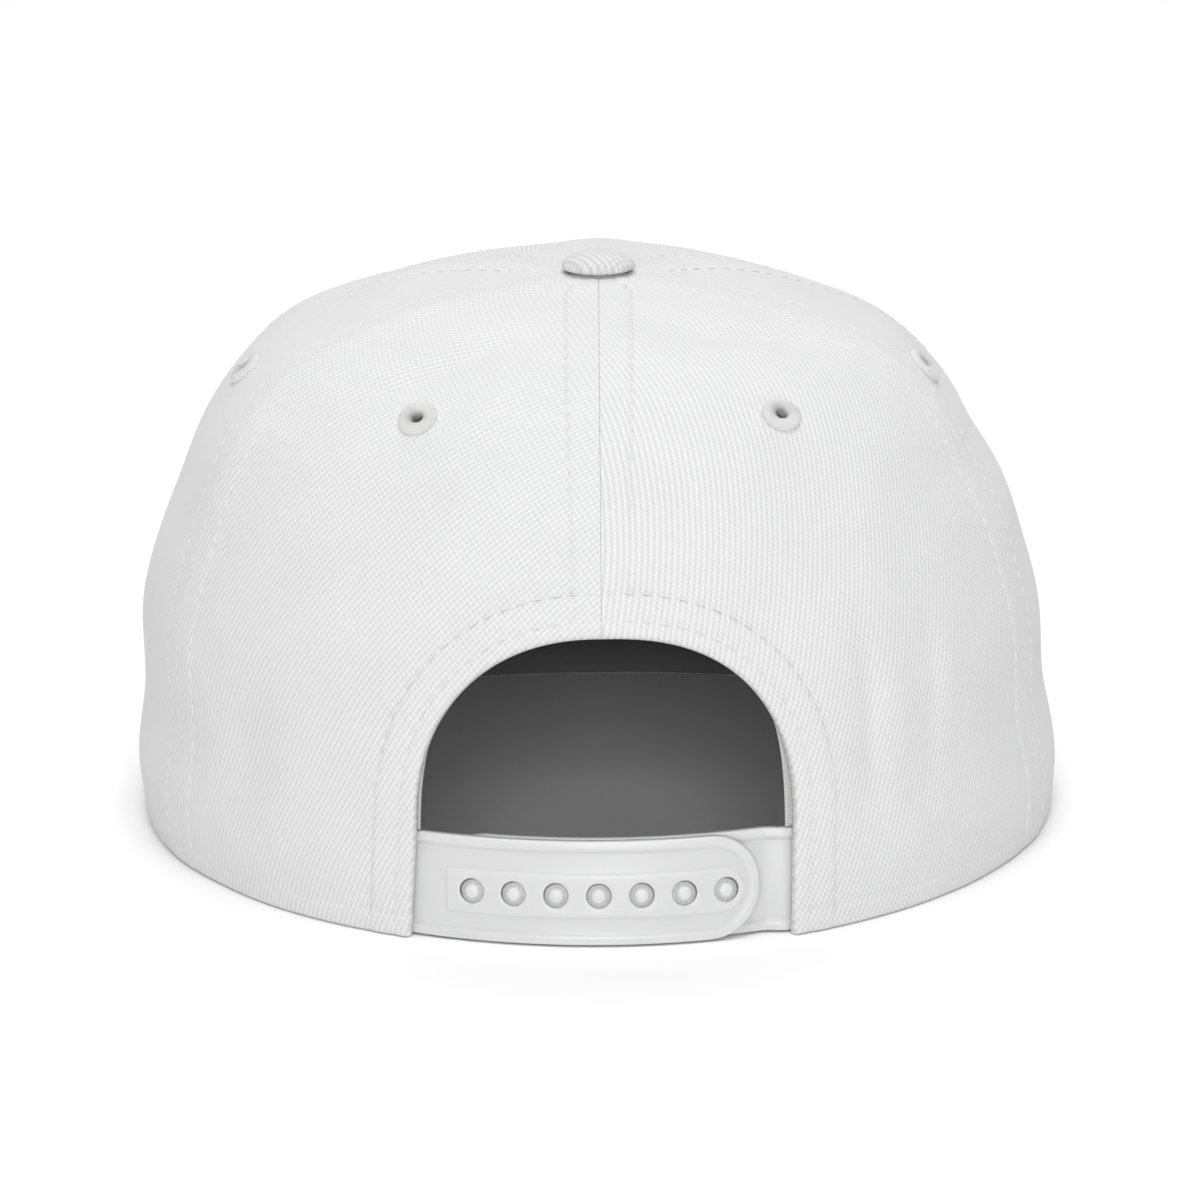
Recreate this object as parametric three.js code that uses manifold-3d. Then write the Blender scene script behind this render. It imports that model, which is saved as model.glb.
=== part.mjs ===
// A six-panel snapback cap in millimetres: +Z up, the brim towards -Y, the rear opening towards +Y.
// Angles round the crown start at the rear, +Y, and grow towards +X, the wearer's left.
import * as THREE from 'three';
import { mergeVertices } from 'three/addons/utils/BufferGeometryUtils.js';
import Module from 'manifold-3d';

const wasm = await Module();
wasm.setup();

// Crown
const CROWN_HEIGHT = 109.4;
const HALF_WIDTH = 93.3;
const BACK_REACH = 101.4;
const FRONT_REACH = 93.5;
const CLOTH = 1.8;
const GAP = 0.3;
const BACKING_GAP = 0.5;
const BACK_ROUNDNESS = 1.97;
const FRONT_ROUNDNESS = 2.3;
const LEAN_AT_RIM = 0.85;
const LEAN_AT_TOP = 4.65;
const TOP_HOLE_RADIUS = 6;

// Button and eyelets
const BUTTON_RADIUS = 7.35;
const BUTTON_HEIGHT = 4.2;
const EYELET_RADIUS = 3.85;
const EYELET_BORE = 1;
const EYELET_SLEEVE = 1.9;
const EYELET_RISE = 0.8;

// Rear opening
const ARCH_HALF_WIDTH = 36.5;
const ARCH_SHIFT = -0.4;
const ARCH_SPRING = 22;
const ARCH_TOP = 57.9;
const TAPE_WIDTH = 8;
const TAPE_THICKNESS = 0.8;
const TAPE_SPRING = 18;

// Snap strap
const STRAP_HEIGHT = 19.7;
const STRAP_LIFT = 0.3;
const STRAP_THICKNESS = 1.5;
const STRAP_RIM = 1.8;
const STRAP_RECESS = 0.35;
const STRAP_TAB = 9;
const HOLE_STRAP_END = 30.4;
const PEG_STRAP_END = 32;
const HOLE_COUNT = 7;
const HOLE_PITCH = 8.2;
const HOLE_RADIUS = 2.35;
const HOLE_ROW_SHIFT = 0.95;
const HOLE_ROW_HEIGHT = 9.7;
const HOLE_BAND_HEIGHT = 7.8;
const HOLE_BAND_LEFT = 4.9;
const HOLE_BAND_RIGHT = 3.4;
const PEG_RADIUS = 1.4;
const PEG_PROUD = 0.35;

// Sweatband and brim
const SWEATBAND_HEIGHT = 32;
const SWEATBAND_THICKNESS = 1.2;
const SWEATBAND_LIFT = 0.5;
const SWEATBAND_SETBACK = 2;
const BRIM_LENGTH = 69;
const BRIM_THICKNESS = 3.6;
const BRIM_SPLAY = 25;

// Crown sections from the rim upwards: shares of the height and of the three reaches, and how far
// each section is drawn from an oval towards a hexagon with its corners on the seams
const SECTIONS = [
  { height: 0, side: 0.987, back: 1, front: 0.985, corner: 0 },
  { height: 0.108, side: 1, back: 0.985, front: 1, corner: 0 },
  { height: 0.251, side: 0.977, back: 0.956, front: 0.99, corner: 0 },
  { height: 0.404, side: 0.975, back: 0.913, front: 0.97, corner: 0.05 },
  { height: 0.548, side: 0.931, back: 0.854, front: 0.935, corner: 0.1 },
  { height: 0.683, side: 0.87, back: 0.767, front: 0.871, corner: 0.16 },
  { height: 0.791, side: 0.795, back: 0.66, front: 0.813, corner: 0.2 },
  { height: 0.872, side: 0.695, back: 0.544, front: 0.727, corner: 0.22 },
  { height: 0.93, side: 0.543, back: 0.418, front: 0.608, corner: 0.22 },
  { height: 0.971, side: 0.369, back: 0.277, front: 0.474, corner: 0.2 },
  { height: 0.991, side: 0.2, back: 0.15, front: 0.318, corner: 0.12 },
];

// Soft dents, and swellings where the depth is negative: where each lies, how deep it is and how far
// it spreads round and up the crown; depths are shares of the deepest one's and heights of the crown's
const DENT_DEPTH = 3.5;
const DENTS = [
  { angle: 24, height: 0.83, depth: 0.31, spread: 15, tall: 0.05 },
  { angle: 338, height: 0.85, depth: 0.26, spread: 13, tall: 0.045 },
  { angle: 325, height: 0.3, depth: 0.26, spread: 3.5, tall: 0.16 },
  { angle: 316, height: 0.36, depth: 0.2, spread: 3, tall: 0.14 },
  { angle: 48, height: 0.25, depth: 0.23, spread: 5, tall: 0.12 },
  { angle: 228, height: 0.9, depth: 1, spread: 28, tall: 0.08 },
  { angle: 135, height: 0.9, depth: -0.37, spread: 28, tall: 0.08 },
  { angle: 275, height: 0.8, depth: 0.2, spread: 30, tall: 0.05 },
  { angle: 275, height: 0.7, depth: 0.36, spread: 30, tall: 0.05 },
  { angle: 272, height: 0.58, depth: -0.16, spread: 30, tall: 0.06 },
  { angle: 88, height: 0.62, depth: 0.18, spread: 30, tall: 0.07 },
  { angle: 180, height: 0.975, depth: -0.56, spread: 14, tall: 0.03 },
];

// The two sides of the rear opening, towards -X and +X, and of the tape that shows inside its edge
const ARCH_SIDES = [
  { toward: -1, roundness: 2.35, flare: -0.5, tapeLap: 2.2, tapeRoundness: 3 },
  { toward: 1, roundness: 2.2, flare: 1.4, tapeLap: 1.2, tapeRoundness: 2.6 },
];

// Panels by the angles of their two seams, with the angle of the eyelet between them
const PANELS = [
  { name: 'back_left', from: 0, to: 64, eyelet: 31 },
  { name: 'side_left', from: 64, to: 118, eyelet: 84 },
  { name: 'front_left', from: 118, to: 180, eyelet: 149 },
  { name: 'front_right', from: 180, to: 242, eyelet: 211 },
  { name: 'side_right', from: 242, to: 290, eyelet: 279 },
  { name: 'back_right', from: 290, to: 360, eyelet: 327.9 },
];
const EYELET_LEVEL = 0.838;

// Mesh steps
const PANEL_COLUMNS = 12;
const PANEL_ROWS = 16;
const EYELET_SIDES = 14;
const BUTTON_SIDES = 20;
const HOLE_SIDES = 14;
const PEG_SIDES = 12;
const ARCH_STEPS = 12;
const BAND_COLUMNS = 36;
const TURN_IN_COLUMNS = 6;
const BRIM_COLUMNS = 28;
const STRAP_STEP = 6;
const ROUND_ANGLES = [15, 30, 45, 60, 75, 90];

// Materials
const WHITE_TWILL = { color: 0xf2f2f0, roughness: 0.95, metalness: 0 };
const WHITE_THREAD = { color: 0xf6f6f4, roughness: 0.85, metalness: 0 };
const GREY_TAPE = { color: 0xd9d9d7, roughness: 0.9, metalness: 0 };
const DARK_LINING = { color: 0x4a4a4c, roughness: 0.95, metalness: 0 };
const WHITE_PLASTIC = { color: 0xf4f5f5, roughness: 0.35, metalness: 0 };

const radians = THREE.MathUtils.degToRad;
const clamp = THREE.MathUtils.clamp;
const smoothstep = THREE.MathUtils.smoothstep;

// A smooth value between four neighbouring rows of a table
function catmullRom(a, b, c, d, u) {
  const linear = (c - a) * u;
  const square = (2 * a - 5 * b + 4 * c - d) * u * u;
  const cube = (3 * b - a - 3 * c + d) * u * u * u;
  return 0.5 * (2 * b + linear + square + cube);
}

// The crown's section rows in millimetres, closed by the small ring round the button's shank
const RINGS = SECTIONS.map((row) => ({
  z: row.height * CROWN_HEIGHT,
  side: row.side * HALF_WIDTH,
  back: row.back * BACK_REACH,
  front: row.front * FRONT_REACH,
  corner: row.corner,
}));
RINGS.push({
  z: CROWN_HEIGHT,
  side: TOP_HOLE_RADIUS,
  back: TOP_HOLE_RADIUS,
  front: TOP_HOLE_RADIUS,
  corner: 0,
});

// The crown's section at a share t of the way from the rim, 0, to the top ring, 1
function section(t) {
  const last = RINGS.length - 1;
  const place = clamp(t, 0, 1) * last;
  const low = Math.min(Math.floor(place), last - 1);
  const rows = [Math.max(low - 1, 0), low, low + 1, Math.min(low + 2, last)].map((k) => RINGS[k]);
  const value = (key) => catmullRom(...rows.map((row) => row[key]), place - low);
  return {
    z: value('z'),
    side: value('side'),
    back: value('back'),
    front: value('front'),
    corner: value('corner'),
  };
}

// The share t at which the crown reaches a height
function shareAt(z) {
  let low = 0;
  let high = 1;
  for (let k = 0; k < 40; k++) {
    const middle = (low + high) / 2;
    if (section(middle).z < z) {
      low = middle;
    } else {
      high = middle;
    }
  }
  return (low + high) / 2;
}

// How much a regular hexagon with its corners on the seams stands out at an angle, 1 half way up its sides
const HEXAGON_MEAN = 0.955;
function hexagonReach(angle) {
  const turned = ((angle % 360) + 360) % 360;
  const panel = PANELS.find((row) => turned < row.to);
  const share = (turned - panel.from) / (panel.to - panel.from);
  return Math.cos(Math.PI / 6) / Math.cos((share - 0.5) * Math.PI / 3) / HEXAGON_MEAN;
}

// How deep the soft dents are at an angle and height
function dentDepth(angle, z) {
  const turned = ((angle % 360) + 360) % 360;
  return DENTS.reduce((sum, dent) => {
    const across = (turned - dent.angle) / dent.spread;
    const up = (z / CROWN_HEIGHT - dent.height) / dent.tall;
    return sum + DENT_DEPTH * dent.depth * Math.exp(-across * across - up * up);
  }, 0);
}

// A point of the crown's outer face at an angle in degrees and a share t of the way up; the dents fade
// out under the button
function facePoint(angle, t) {
  const at = section(t);
  const sine = Math.sin(radians(angle));
  const cosine = Math.cos(radians(angle));
  const reach = cosine >= 0 ? at.back : at.front;
  const power = cosine >= 0 ? BACK_ROUNDNESS : FRONT_ROUNDNESS;
  const oval = (Math.abs(sine) ** power + Math.abs(cosine) ** power) ** (-1 / power);
  const clear = clamp((at.side - TOP_HOLE_RADIUS) / BUTTON_RADIUS, 0, 1);
  const dent = 1 - clear * dentDepth(angle, at.z) / Math.max(at.side, at.back);
  const size = oval * (1 + at.corner * (hexagonReach(angle) - 1)) * dent;
  const lean = LEAN_AT_RIM + (LEAN_AT_TOP - LEAN_AT_RIM) * at.z / CROWN_HEIGHT;
  const spread = (at.side - TOP_HOLE_RADIUS) / HALF_WIDTH;
  const x = at.side * sine * size + lean * spread * (sine * size) ** 2;
  return new THREE.Vector3(x, reach * cosine * size, at.z);
}

// The crown's outward normal at an angle and share, evened out across a seam so that walls meet in a mitre
const NORMAL_SPAN = 1.5;
function faceNormal(angle, t) {
  const middle = clamp(t, 0.004, 0.996);
  const along = facePoint(angle + NORMAL_SPAN, middle).sub(facePoint(angle - NORMAL_SPAN, middle));
  const up = facePoint(angle, middle + 0.003).sub(facePoint(angle, middle - 0.003));
  return up.cross(along).normalize();
}

// A point a depth under the crown's face, measured square to the face
function underFace(angle, t, depth) {
  return facePoint(angle, t).addScaledVector(faceNormal(angle, t), -depth);
}

// A point a depth under the crown's face, measured level, at a height
function insideWall(angle, z, depth) {
  const t = shareAt(z);
  const outward = faceNormal(angle, t).setZ(0).normalize();
  return facePoint(angle, t).addScaledVector(outward, -depth).setZ(z);
}

// The angle at which the crown's face has a given x at a height
function angleAt(x, z) {
  const t = shareAt(z);
  let angle = THREE.MathUtils.radToDeg(Math.asin(clamp(x / HALF_WIDTH, -1, 1)));
  for (let k = 0; k < 20; k++) {
    angle += THREE.MathUtils.radToDeg((x - facePoint(angle, t).x) / HALF_WIDTH);
  }
  return angle;
}

// The point of the rear wall at an x and height, a depth under the crown's face
function rearPoint(x, z, depth) {
  let aimX = x;
  let aimZ = z;
  let point;
  for (let k = 0; k < 8; k++) {
    point = underFace(angleAt(aimX, aimZ), shareAt(aimZ), depth);
    aimX += x - point.x;
    aimZ = Math.max(aimZ + z - point.z, 0);
  }
  return new THREE.Vector3(x, point.y, z);
}

// A closed body between two grids of points, the first one outside
function slab(outer, inner) {
  const columns = outer.length;
  const rows = outer[0].length;
  const count = columns * rows;
  const index = (i, j) => i * rows + j;
  const faces = [];
  for (let i = 0; i < columns - 1; i++) {
    for (let j = 0; j < rows - 1; j++) {
      const [a, b, c, d] = [index(i, j), index(i, j + 1), index(i + 1, j + 1), index(i + 1, j)];
      faces.push(a, b, c, a, c, d);
      faces.push(a + count, c + count, b + count, a + count, d + count, c + count);
    }
  }
  const loop = [];
  for (let j = 0; j < rows - 1; j++) loop.push(index(0, j));
  for (let i = 0; i < columns - 1; i++) loop.push(index(i, rows - 1));
  for (let j = rows - 1; j > 0; j--) loop.push(index(columns - 1, j));
  for (let i = columns - 1; i > 0; i--) loop.push(index(i, 0));
  loop.forEach((p, k) => {
    const q = loop[(k + 1) % loop.length];
    faces.push(q, p, p + count, q, p + count, q + count);
  });
  const points = [...outer.flat(), ...inner.flat()];
  const geometry = new THREE.BufferGeometry();
  geometry.setAttribute('position', new THREE.Float32BufferAttribute(points.flatMap((p) => p.toArray()), 3));
  geometry.setIndex(faces);
  return geometry;
}

// A grid of points from a function of a column's value and a row's value
function grid(columns, rows, place) {
  return columns.map((column) => rows.map((row) => place(column, row)));
}

// Evenly spaced values, both ends included
function spaced(from, to, steps) {
  return Array.from({ length: steps + 1 }, (_, k) => from + (to - from) * k / steps);
}

// Solids for joining and cutting, and back
function toSolid(geometry) {
  const bare = geometry.clone();
  bare.deleteAttribute('normal');
  bare.deleteAttribute('uv');
  const merged = mergeVertices(bare, 1e-4);
  return new wasm.Manifold(new wasm.Mesh({
    numProp: 3,
    vertProperties: new Float32Array(merged.attributes.position.array),
    triVerts: new Uint32Array(merged.index.array),
  }));
}

function toGeometry(solid) {
  const mesh = solid.getMesh();
  const geometry = new THREE.BufferGeometry();
  geometry.setAttribute('position', new THREE.Float32BufferAttribute(mesh.vertProperties, 3));
  geometry.setIndex(Array.from(mesh.triVerts));
  return geometry;
}

// A turned body whose axis is +Z, from a profile of radius and height pairs that runs anticlockwise
function turned(profile, sides) {
  const points = profile.map(([radius, height]) => new THREE.Vector2(radius, height));
  return new THREE.LatheGeometry(points, sides).rotateX(Math.PI / 2);
}

// Where something stands square on the crown's face
function standOn(point, normal) {
  const turn = new THREE.Quaternion().setFromUnitVectors(new THREE.Vector3(0, 0, 1), normal);
  return new THREE.Matrix4().compose(point, turn, new THREE.Vector3(1, 1, 1));
}

// A round cutter or peg on an axis, between two heights over a point
function pin(radius, low, high, place, sides) {
  const profile = [[0, low], [radius, low], [radius, high], [0, high]];
  return toSolid(turned(profile, sides).applyMatrix4(place));
}

// The half width of an arch at a height
function archHalfWidth(z, half, spring, top, roundness, flare) {
  if (z <= spring) {
    return half + flare * (spring - z) / spring;
  }
  return half * Math.max(1 - ((z - spring) / (top - spring)) ** roundness, 0) ** (1 / roundness);
}

// An arch's outline as x and z pairs, from its foot at -X over the top to its foot at +X
function archOutline(foot, top, halfWidth) {
  const rise = spaced(0, Math.PI / 2, ARCH_STEPS).map((turn) => foot + (top - foot) * Math.sin(turn));
  const [right, left] = ARCH_SIDES.map(
    (side) => rise.map((z) => [ARCH_SHIFT + side.toward * halfWidth(side, z), z]),
  );
  return [...right, ...left.reverse().slice(1)];
}

// The cutter of the rear opening
function archCutter() {
  const outline = archOutline(
    0,
    ARCH_TOP,
    (side, z) => archHalfWidth(z, ARCH_HALF_WIDTH, ARCH_SPRING, ARCH_TOP, side.roundness, side.flare),
  );
  const feet = [outline[0][0], outline.at(-1)[0]];
  const loop = [[feet[0], -1], ...outline, [feet[1], -1]];
  const shape = new THREE.Shape(loop.map(([x, z]) => new THREE.Vector2(x, z)));
  const depth = BACK_REACH * 2;
  const geometry = new THREE.ExtrudeGeometry(shape, { depth, bevelEnabled: false });
  return toSolid(geometry.rotateX(Math.PI / 2).translate(0, depth, 0));
}

const eyeletShare = shareAt(EYELET_LEVEL * CROWN_HEIGHT);
const brimSeat = BRIM_THICKNESS + GAP;

// A crown panel between its seams, with the hole for its eyelet and its half of the rear opening
function panelGeometry(panel) {
  const isFront = panel.name.startsWith('front');
  const foot = isFront ? brimSeat : 0;
  const shares = spaced(shareAt(foot), 1, PANEL_ROWS);
  const place = (depth) => (share, t) => {
    const middle = facePoint((panel.from + panel.to) / 2, t);
    const trim = THREE.MathUtils.radToDeg(GAP / 2 / Math.hypot(middle.x, middle.y));
    const angle = panel.from + trim + (panel.to - panel.from - 2 * trim) * share;
    const point = underFace(angle, t, depth);
    return point.setZ(t === shares[0] ? foot : Math.max(point.z, foot));
  };
  const columns = spaced(0, 1, PANEL_COLUMNS);
  const wall = slab(grid(columns, shares, place(0)), grid(columns, shares, place(CLOTH)));
  const seat = standOn(facePoint(panel.eyelet, eyeletShare), faceNormal(panel.eyelet, eyeletShare));
  let solid = toSolid(wall).subtract(pin(EYELET_SLEEVE + GAP, -3 * CLOTH, 2 * CLOTH, seat, EYELET_SIDES));
  if (panel.name.startsWith('back')) {
    solid = solid.subtract(archCutter());
  }
  return toGeometry(solid);
}

// A stitched eyelet: a low ring on the face and a sleeve through the panel
function eyeletGeometry(panel) {
  const top = GAP + EYELET_RISE;
  const profile = [
    [EYELET_BORE, -CLOTH],
    [EYELET_SLEEVE, -CLOTH],
    [EYELET_SLEEVE, GAP],
    [EYELET_RADIUS - EYELET_RISE / 4, GAP],
    [EYELET_RADIUS, GAP + EYELET_RISE / 2],
    [EYELET_RADIUS - EYELET_RISE, top],
    [EYELET_BORE + EYELET_RISE / 2, top],
    [EYELET_BORE, GAP + EYELET_RISE / 2],
    [EYELET_BORE, -CLOTH],
  ];
  const seat = standOn(facePoint(panel.eyelet, eyeletShare), faceNormal(panel.eyelet, eyeletShare));
  return turned(profile, EYELET_SIDES).applyMatrix4(seat);
}

// The button: a dome over the panels' tips and a shank through their hole
function buttonGeometry() {
  const seat = CROWN_HEIGHT + GAP;
  const lip = BUTTON_HEIGHT * 0.18;
  const shank = TOP_HOLE_RADIUS - GAP;
  const dome = spaced(0, 90, 6).map((turn) => [
    BUTTON_RADIUS * Math.cos(radians(turn)),
    seat + lip + (BUTTON_HEIGHT - lip) * Math.sin(radians(turn)),
  ]);
  dome[dome.length - 1][0] = 0;
  const profile = [
    [0, CROWN_HEIGHT - CLOTH],
    [shank, CROWN_HEIGHT - CLOTH],
    [shank, seat],
    [BUTTON_RADIUS - lip, seat],
    ...dome,
  ];
  return turned(profile, BUTTON_SIDES);
}

// The tape behind the edge of the rear opening, which shows inside the opening's feet
function tapeGeometry() {
  const foot = STRAP_LIFT + STRAP_HEIGHT + GAP;
  const outline = (grow) => {
    const top = ARCH_TOP + GAP + grow;
    return archOutline(foot, top, (side, z) => {
      const half = ARCH_HALF_WIDTH - side.tapeLap + grow;
      return archHalfWidth(z, half, TAPE_SPRING, top, side.tapeRoundness, 0);
    });
  };
  const edges = [outline(0), outline(TAPE_WIDTH)];
  const face = CLOTH + BACKING_GAP;
  const place = (depth) => (k, share) => {
    const x = edges[0][k][0] + (edges[1][k][0] - edges[0][k][0]) * share;
    const z = edges[0][k][1] + (edges[1][k][1] - edges[0][k][1]) * share;
    return rearPoint(x, z, depth);
  };
  const columns = edges[0].map((_, k) => k);
  const rows = [0, 0.5, 1];
  return slab(grid(columns, rows, place(face)), grid(columns, rows, place(face + TAPE_THICKNESS)));
}

// Distances along the strap, from the middle of the rear, as x
const REAR_BEND = HALF_WIDTH ** 2 / BACK_REACH;
function strapX(along) {
  return REAR_BEND * Math.sin(along / REAR_BEND);
}

const strapMiddle = STRAP_LIFT + STRAP_HEIGHT / 2;
const strapFace = CLOTH + BACKING_GAP;
const pegFace = strapFace + STRAP_THICKNESS + GAP;
const archFoot = ARCH_HALF_WIDTH + Math.max(...ARCH_SIDES.map((side) => side.flare));
const sewnEnd = archFoot + STRAP_TAB;

// The depth of the peg strap's face: behind the other strap, then out to the panel it is sewn to
function pegStrapDepth(along) {
  const start = HOLE_STRAP_END + GAP;
  const end = ARCH_HALF_WIDTH - GAP;
  return pegFace - (pegFace - strapFace) * smoothstep(-along, start, Math.max(end, start + STRAP_RIM));
}

// A strap's plate, or an inset copy of it, from its round free end to its sewn end
function strapPlate(freeEnd, sewn, inset, depthAt, low, high) {
  const toward = Math.sign(sewn - freeEnd);
  const radius = STRAP_HEIGHT / 2 - inset;
  const tip = freeEnd + toward * inset;
  const columns = ROUND_ANGLES.map((turn) => ({
    along: tip + toward * radius * (1 - Math.cos(radians(turn))),
    half: radius * Math.sin(radians(turn)),
  }));
  const straight = tip + toward * radius;
  const steps = Math.ceil(Math.abs(sewn - straight) / STRAP_STEP);
  spaced(straight, sewn, steps).slice(1).forEach((along) => columns.push({ along, half: radius }));
  if (toward < 0) {
    columns.reverse();
  }
  const place = (sink) => (column, share) => rearPoint(
    strapX(column.along),
    strapMiddle + column.half * share,
    depthAt(column.along) + sink,
  );
  const rows = [-1, 0, 1];
  return toSolid(slab(grid(columns, rows, place(low)), grid(columns, rows, place(high))));
}

// A strap with a raised rim all round its recessed field
function rimmedStrap(freeEnd, sewn, depthAt, band) {
  const plate = strapPlate(freeEnd, sewn, 0, depthAt, 0, STRAP_THICKNESS);
  let field = strapPlate(freeEnd, sewn - Math.sign(sewn) * STRAP_RIM, STRAP_RIM, depthAt, -1, STRAP_RECESS);
  if (band) {
    field = field.subtract(band);
  }
  return plate.subtract(field);
}

const holePlaces = Array.from(
  { length: HOLE_COUNT },
  (_, k) => HOLE_ROW_SHIFT + HOLE_PITCH * (k - (HOLE_COUNT - 1) / 2),
);

// A place on the rear wall at the height of the hole row, looking outwards
function holeSeat(along) {
  const x = strapX(along);
  const normal = faceNormal(angleAt(x, HOLE_ROW_HEIGHT), shareAt(HOLE_ROW_HEIGHT));
  return standOn(rearPoint(x, HOLE_ROW_HEIGHT, strapFace), normal);
}

// The raised band that carries the row of holes: rearPoint slabs from end to end
function holeBand() {
  const columns = spaced(holePlaces[0] - HOLE_BAND_RIGHT, holePlaces.at(-1) + HOLE_BAND_LEFT, 10);
  const rows = [-1, 0, 1];
  const place = (depth) => (along, share) => rearPoint(
    strapX(along),
    HOLE_ROW_HEIGHT + share * HOLE_BAND_HEIGHT / 2,
    strapFace + depth,
  );
  return toSolid(slab(grid(columns, rows, place(-2)), grid(columns, rows, place(STRAP_THICKNESS))));
}

// The outer strap, sewn in at +X, with its row of holes
function holeStrapGeometry() {
  const holes = holePlaces.map((along) => pin(HOLE_RADIUS, -3 * STRAP_THICKNESS, 3, holeSeat(along), HOLE_SIDES));
  const strap = rimmedStrap(-HOLE_STRAP_END, sewnEnd, () => strapFace, holeBand());
  return toGeometry(holes.reduce((solid, hole) => solid.subtract(hole), strap));
}

// The inner strap, sewn in at -X, with a peg through each hole of the outer one
function pegStrapGeometry() {
  const root = strapFace - pegFace - STRAP_THICKNESS / 2;
  const pegs = holePlaces.map((along) => pin(PEG_RADIUS, root, PEG_PROUD, holeSeat(along), PEG_SIDES));
  const strap = rimmedStrap(PEG_STRAP_END, -sewnEnd, pegStrapDepth, null);
  return toGeometry(pegs.reduce((solid, peg) => solid.add(peg), strap));
}

// The sweatband: inside the panels, passing inside the strap's sewn ends
function sweatbandGeometry() {
  const legX = archFoot + SWEATBAND_SETBACK;
  const left = angleAt(legX, STRAP_HEIGHT / 2);
  const right = 360 + angleAt(-legX, STRAP_HEIGHT / 2);
  const face = CLOTH + BACKING_GAP;
  const inner = face + STRAP_THICKNESS + BACKING_GAP;
  const depthAt = (angle) => {
    const fromEnd = radians(Math.min(angle - left, right - angle)) * HALF_WIDTH;
    return inner - (inner - face) * smoothstep(fromEnd, STRAP_TAB, STRAP_TAB * 2);
  };
  const turnIn = THREE.MathUtils.radToDeg(STRAP_TAB * 2 / HALF_WIDTH);
  const columns = [
    ...spaced(left, left + turnIn, TURN_IN_COLUMNS),
    ...spaced(left + turnIn, right - turnIn, BAND_COLUMNS).slice(1),
    ...spaced(right - turnIn, right, TURN_IN_COLUMNS).slice(1),
  ];
  const rows = spaced(SWEATBAND_LIFT, SWEATBAND_LIFT + SWEATBAND_HEIGHT, 2);
  const place = (sink) => (angle, z) => insideWall(angle, z, depthAt(angle) + sink);
  return slab(grid(columns, rows, place(0)), grid(columns, rows, place(SWEATBAND_THICKNESS)));
}

// The brim across its width: the share from the crown outwards and the share of the thickness there
const BRIM_SECTION = [
  { across: 0, thick: 1 },
  { across: 0.35, thick: 1 },
  { across: 0.7, thick: 1 },
  { across: 0.965, thick: 1 },
  { across: 0.99, thick: 0.78 },
  { across: 1, thick: 0.4 },
];

// How far the brim's edge lies from the crown, as a share of its length, from the middle, 0, to a corner, 1
function brimReach(share) {
  return Math.max(1 - Math.abs(share) ** 2.6, 0) ** 0.526;
}

// The flat brim, from under the front panels out to its edge
function brimGeometry() {
  const left = PANELS.find((panel) => panel.name === 'front_left');
  const right = PANELS.find((panel) => panel.name === 'front_right');
  const middle = left.to;
  const trim = THREE.MathUtils.radToDeg(GAP / HALF_WIDTH);
  const spread = Math.min(middle - left.from, right.to - middle) - trim;
  const shares = spaced(-90, 90, BRIM_COLUMNS).map((turn) => Math.sin(radians(turn)));
  const place = (top) => (share, row) => {
    const angle = middle + share * spread;
    const inner = insideWall(angle, 0, CLOTH);
    const outer = insideWall(angle, 0, 0);
    const splay = -share * radians(BRIM_SPLAY);
    const length = BRIM_LENGTH * brimReach(share);
    outer.add(new THREE.Vector3(Math.sin(splay), -Math.cos(splay), 0).multiplyScalar(length));
    const half = BRIM_THICKNESS / 2;
    return inner.lerp(outer, row.across).setZ(half + (top ? half : -half) * row.thick);
  };
  return slab(grid(shares, BRIM_SECTION, place(false)), grid(shares, BRIM_SECTION, place(true)));
}

// The scene graph
const cap = new THREE.Group();

function addPiece(name, geometry, look) {
  geometry.computeVertexNormals();
  const mesh = new THREE.Mesh(geometry, new THREE.MeshStandardMaterial(look));
  mesh.name = name;
  cap.add(mesh);
}

for (const panel of PANELS) {
  addPiece(`panel_${panel.name}`, panelGeometry(panel), WHITE_TWILL);
  addPiece(`eyelet_${panel.name}`, eyeletGeometry(panel), WHITE_THREAD);
}
addPiece('top_button', buttonGeometry(), WHITE_TWILL);
addPiece('brim', brimGeometry(), WHITE_TWILL);
addPiece('sweatband', sweatbandGeometry(), DARK_LINING);
addPiece('back_opening_tape', tapeGeometry(), GREY_TAPE);
addPiece('snap_strap_holes', holeStrapGeometry(), WHITE_PLASTIC);
addPiece('snap_strap_pegs', pegStrapGeometry(), WHITE_PLASTIC);

// The origin is the middle of the cap's footprint, on the surface that it rests on
const bounds = new THREE.Box3().setFromObject(cap, true);
const middle = bounds.getCenter(new THREE.Vector3());
cap.position.set(-middle.x, -middle.y, -bounds.min.z);

export default cap;
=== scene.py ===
# A white six-panel snapback cap on a pale floor, seen from behind.
# Shapes are in millimetres in the crown's own frame: its origin is under the button, on the floor.
# Angles round the crown start at the rear, +Y, and grow towards +X, the wearer's left.
from math import cos, pi, radians, sin

import bpy
import numpy as np
from mathutils import Matrix, Vector, noise
from mathutils.geometry import delaunay_2d_cdt
from mathutils.kdtree import KDTree


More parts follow.
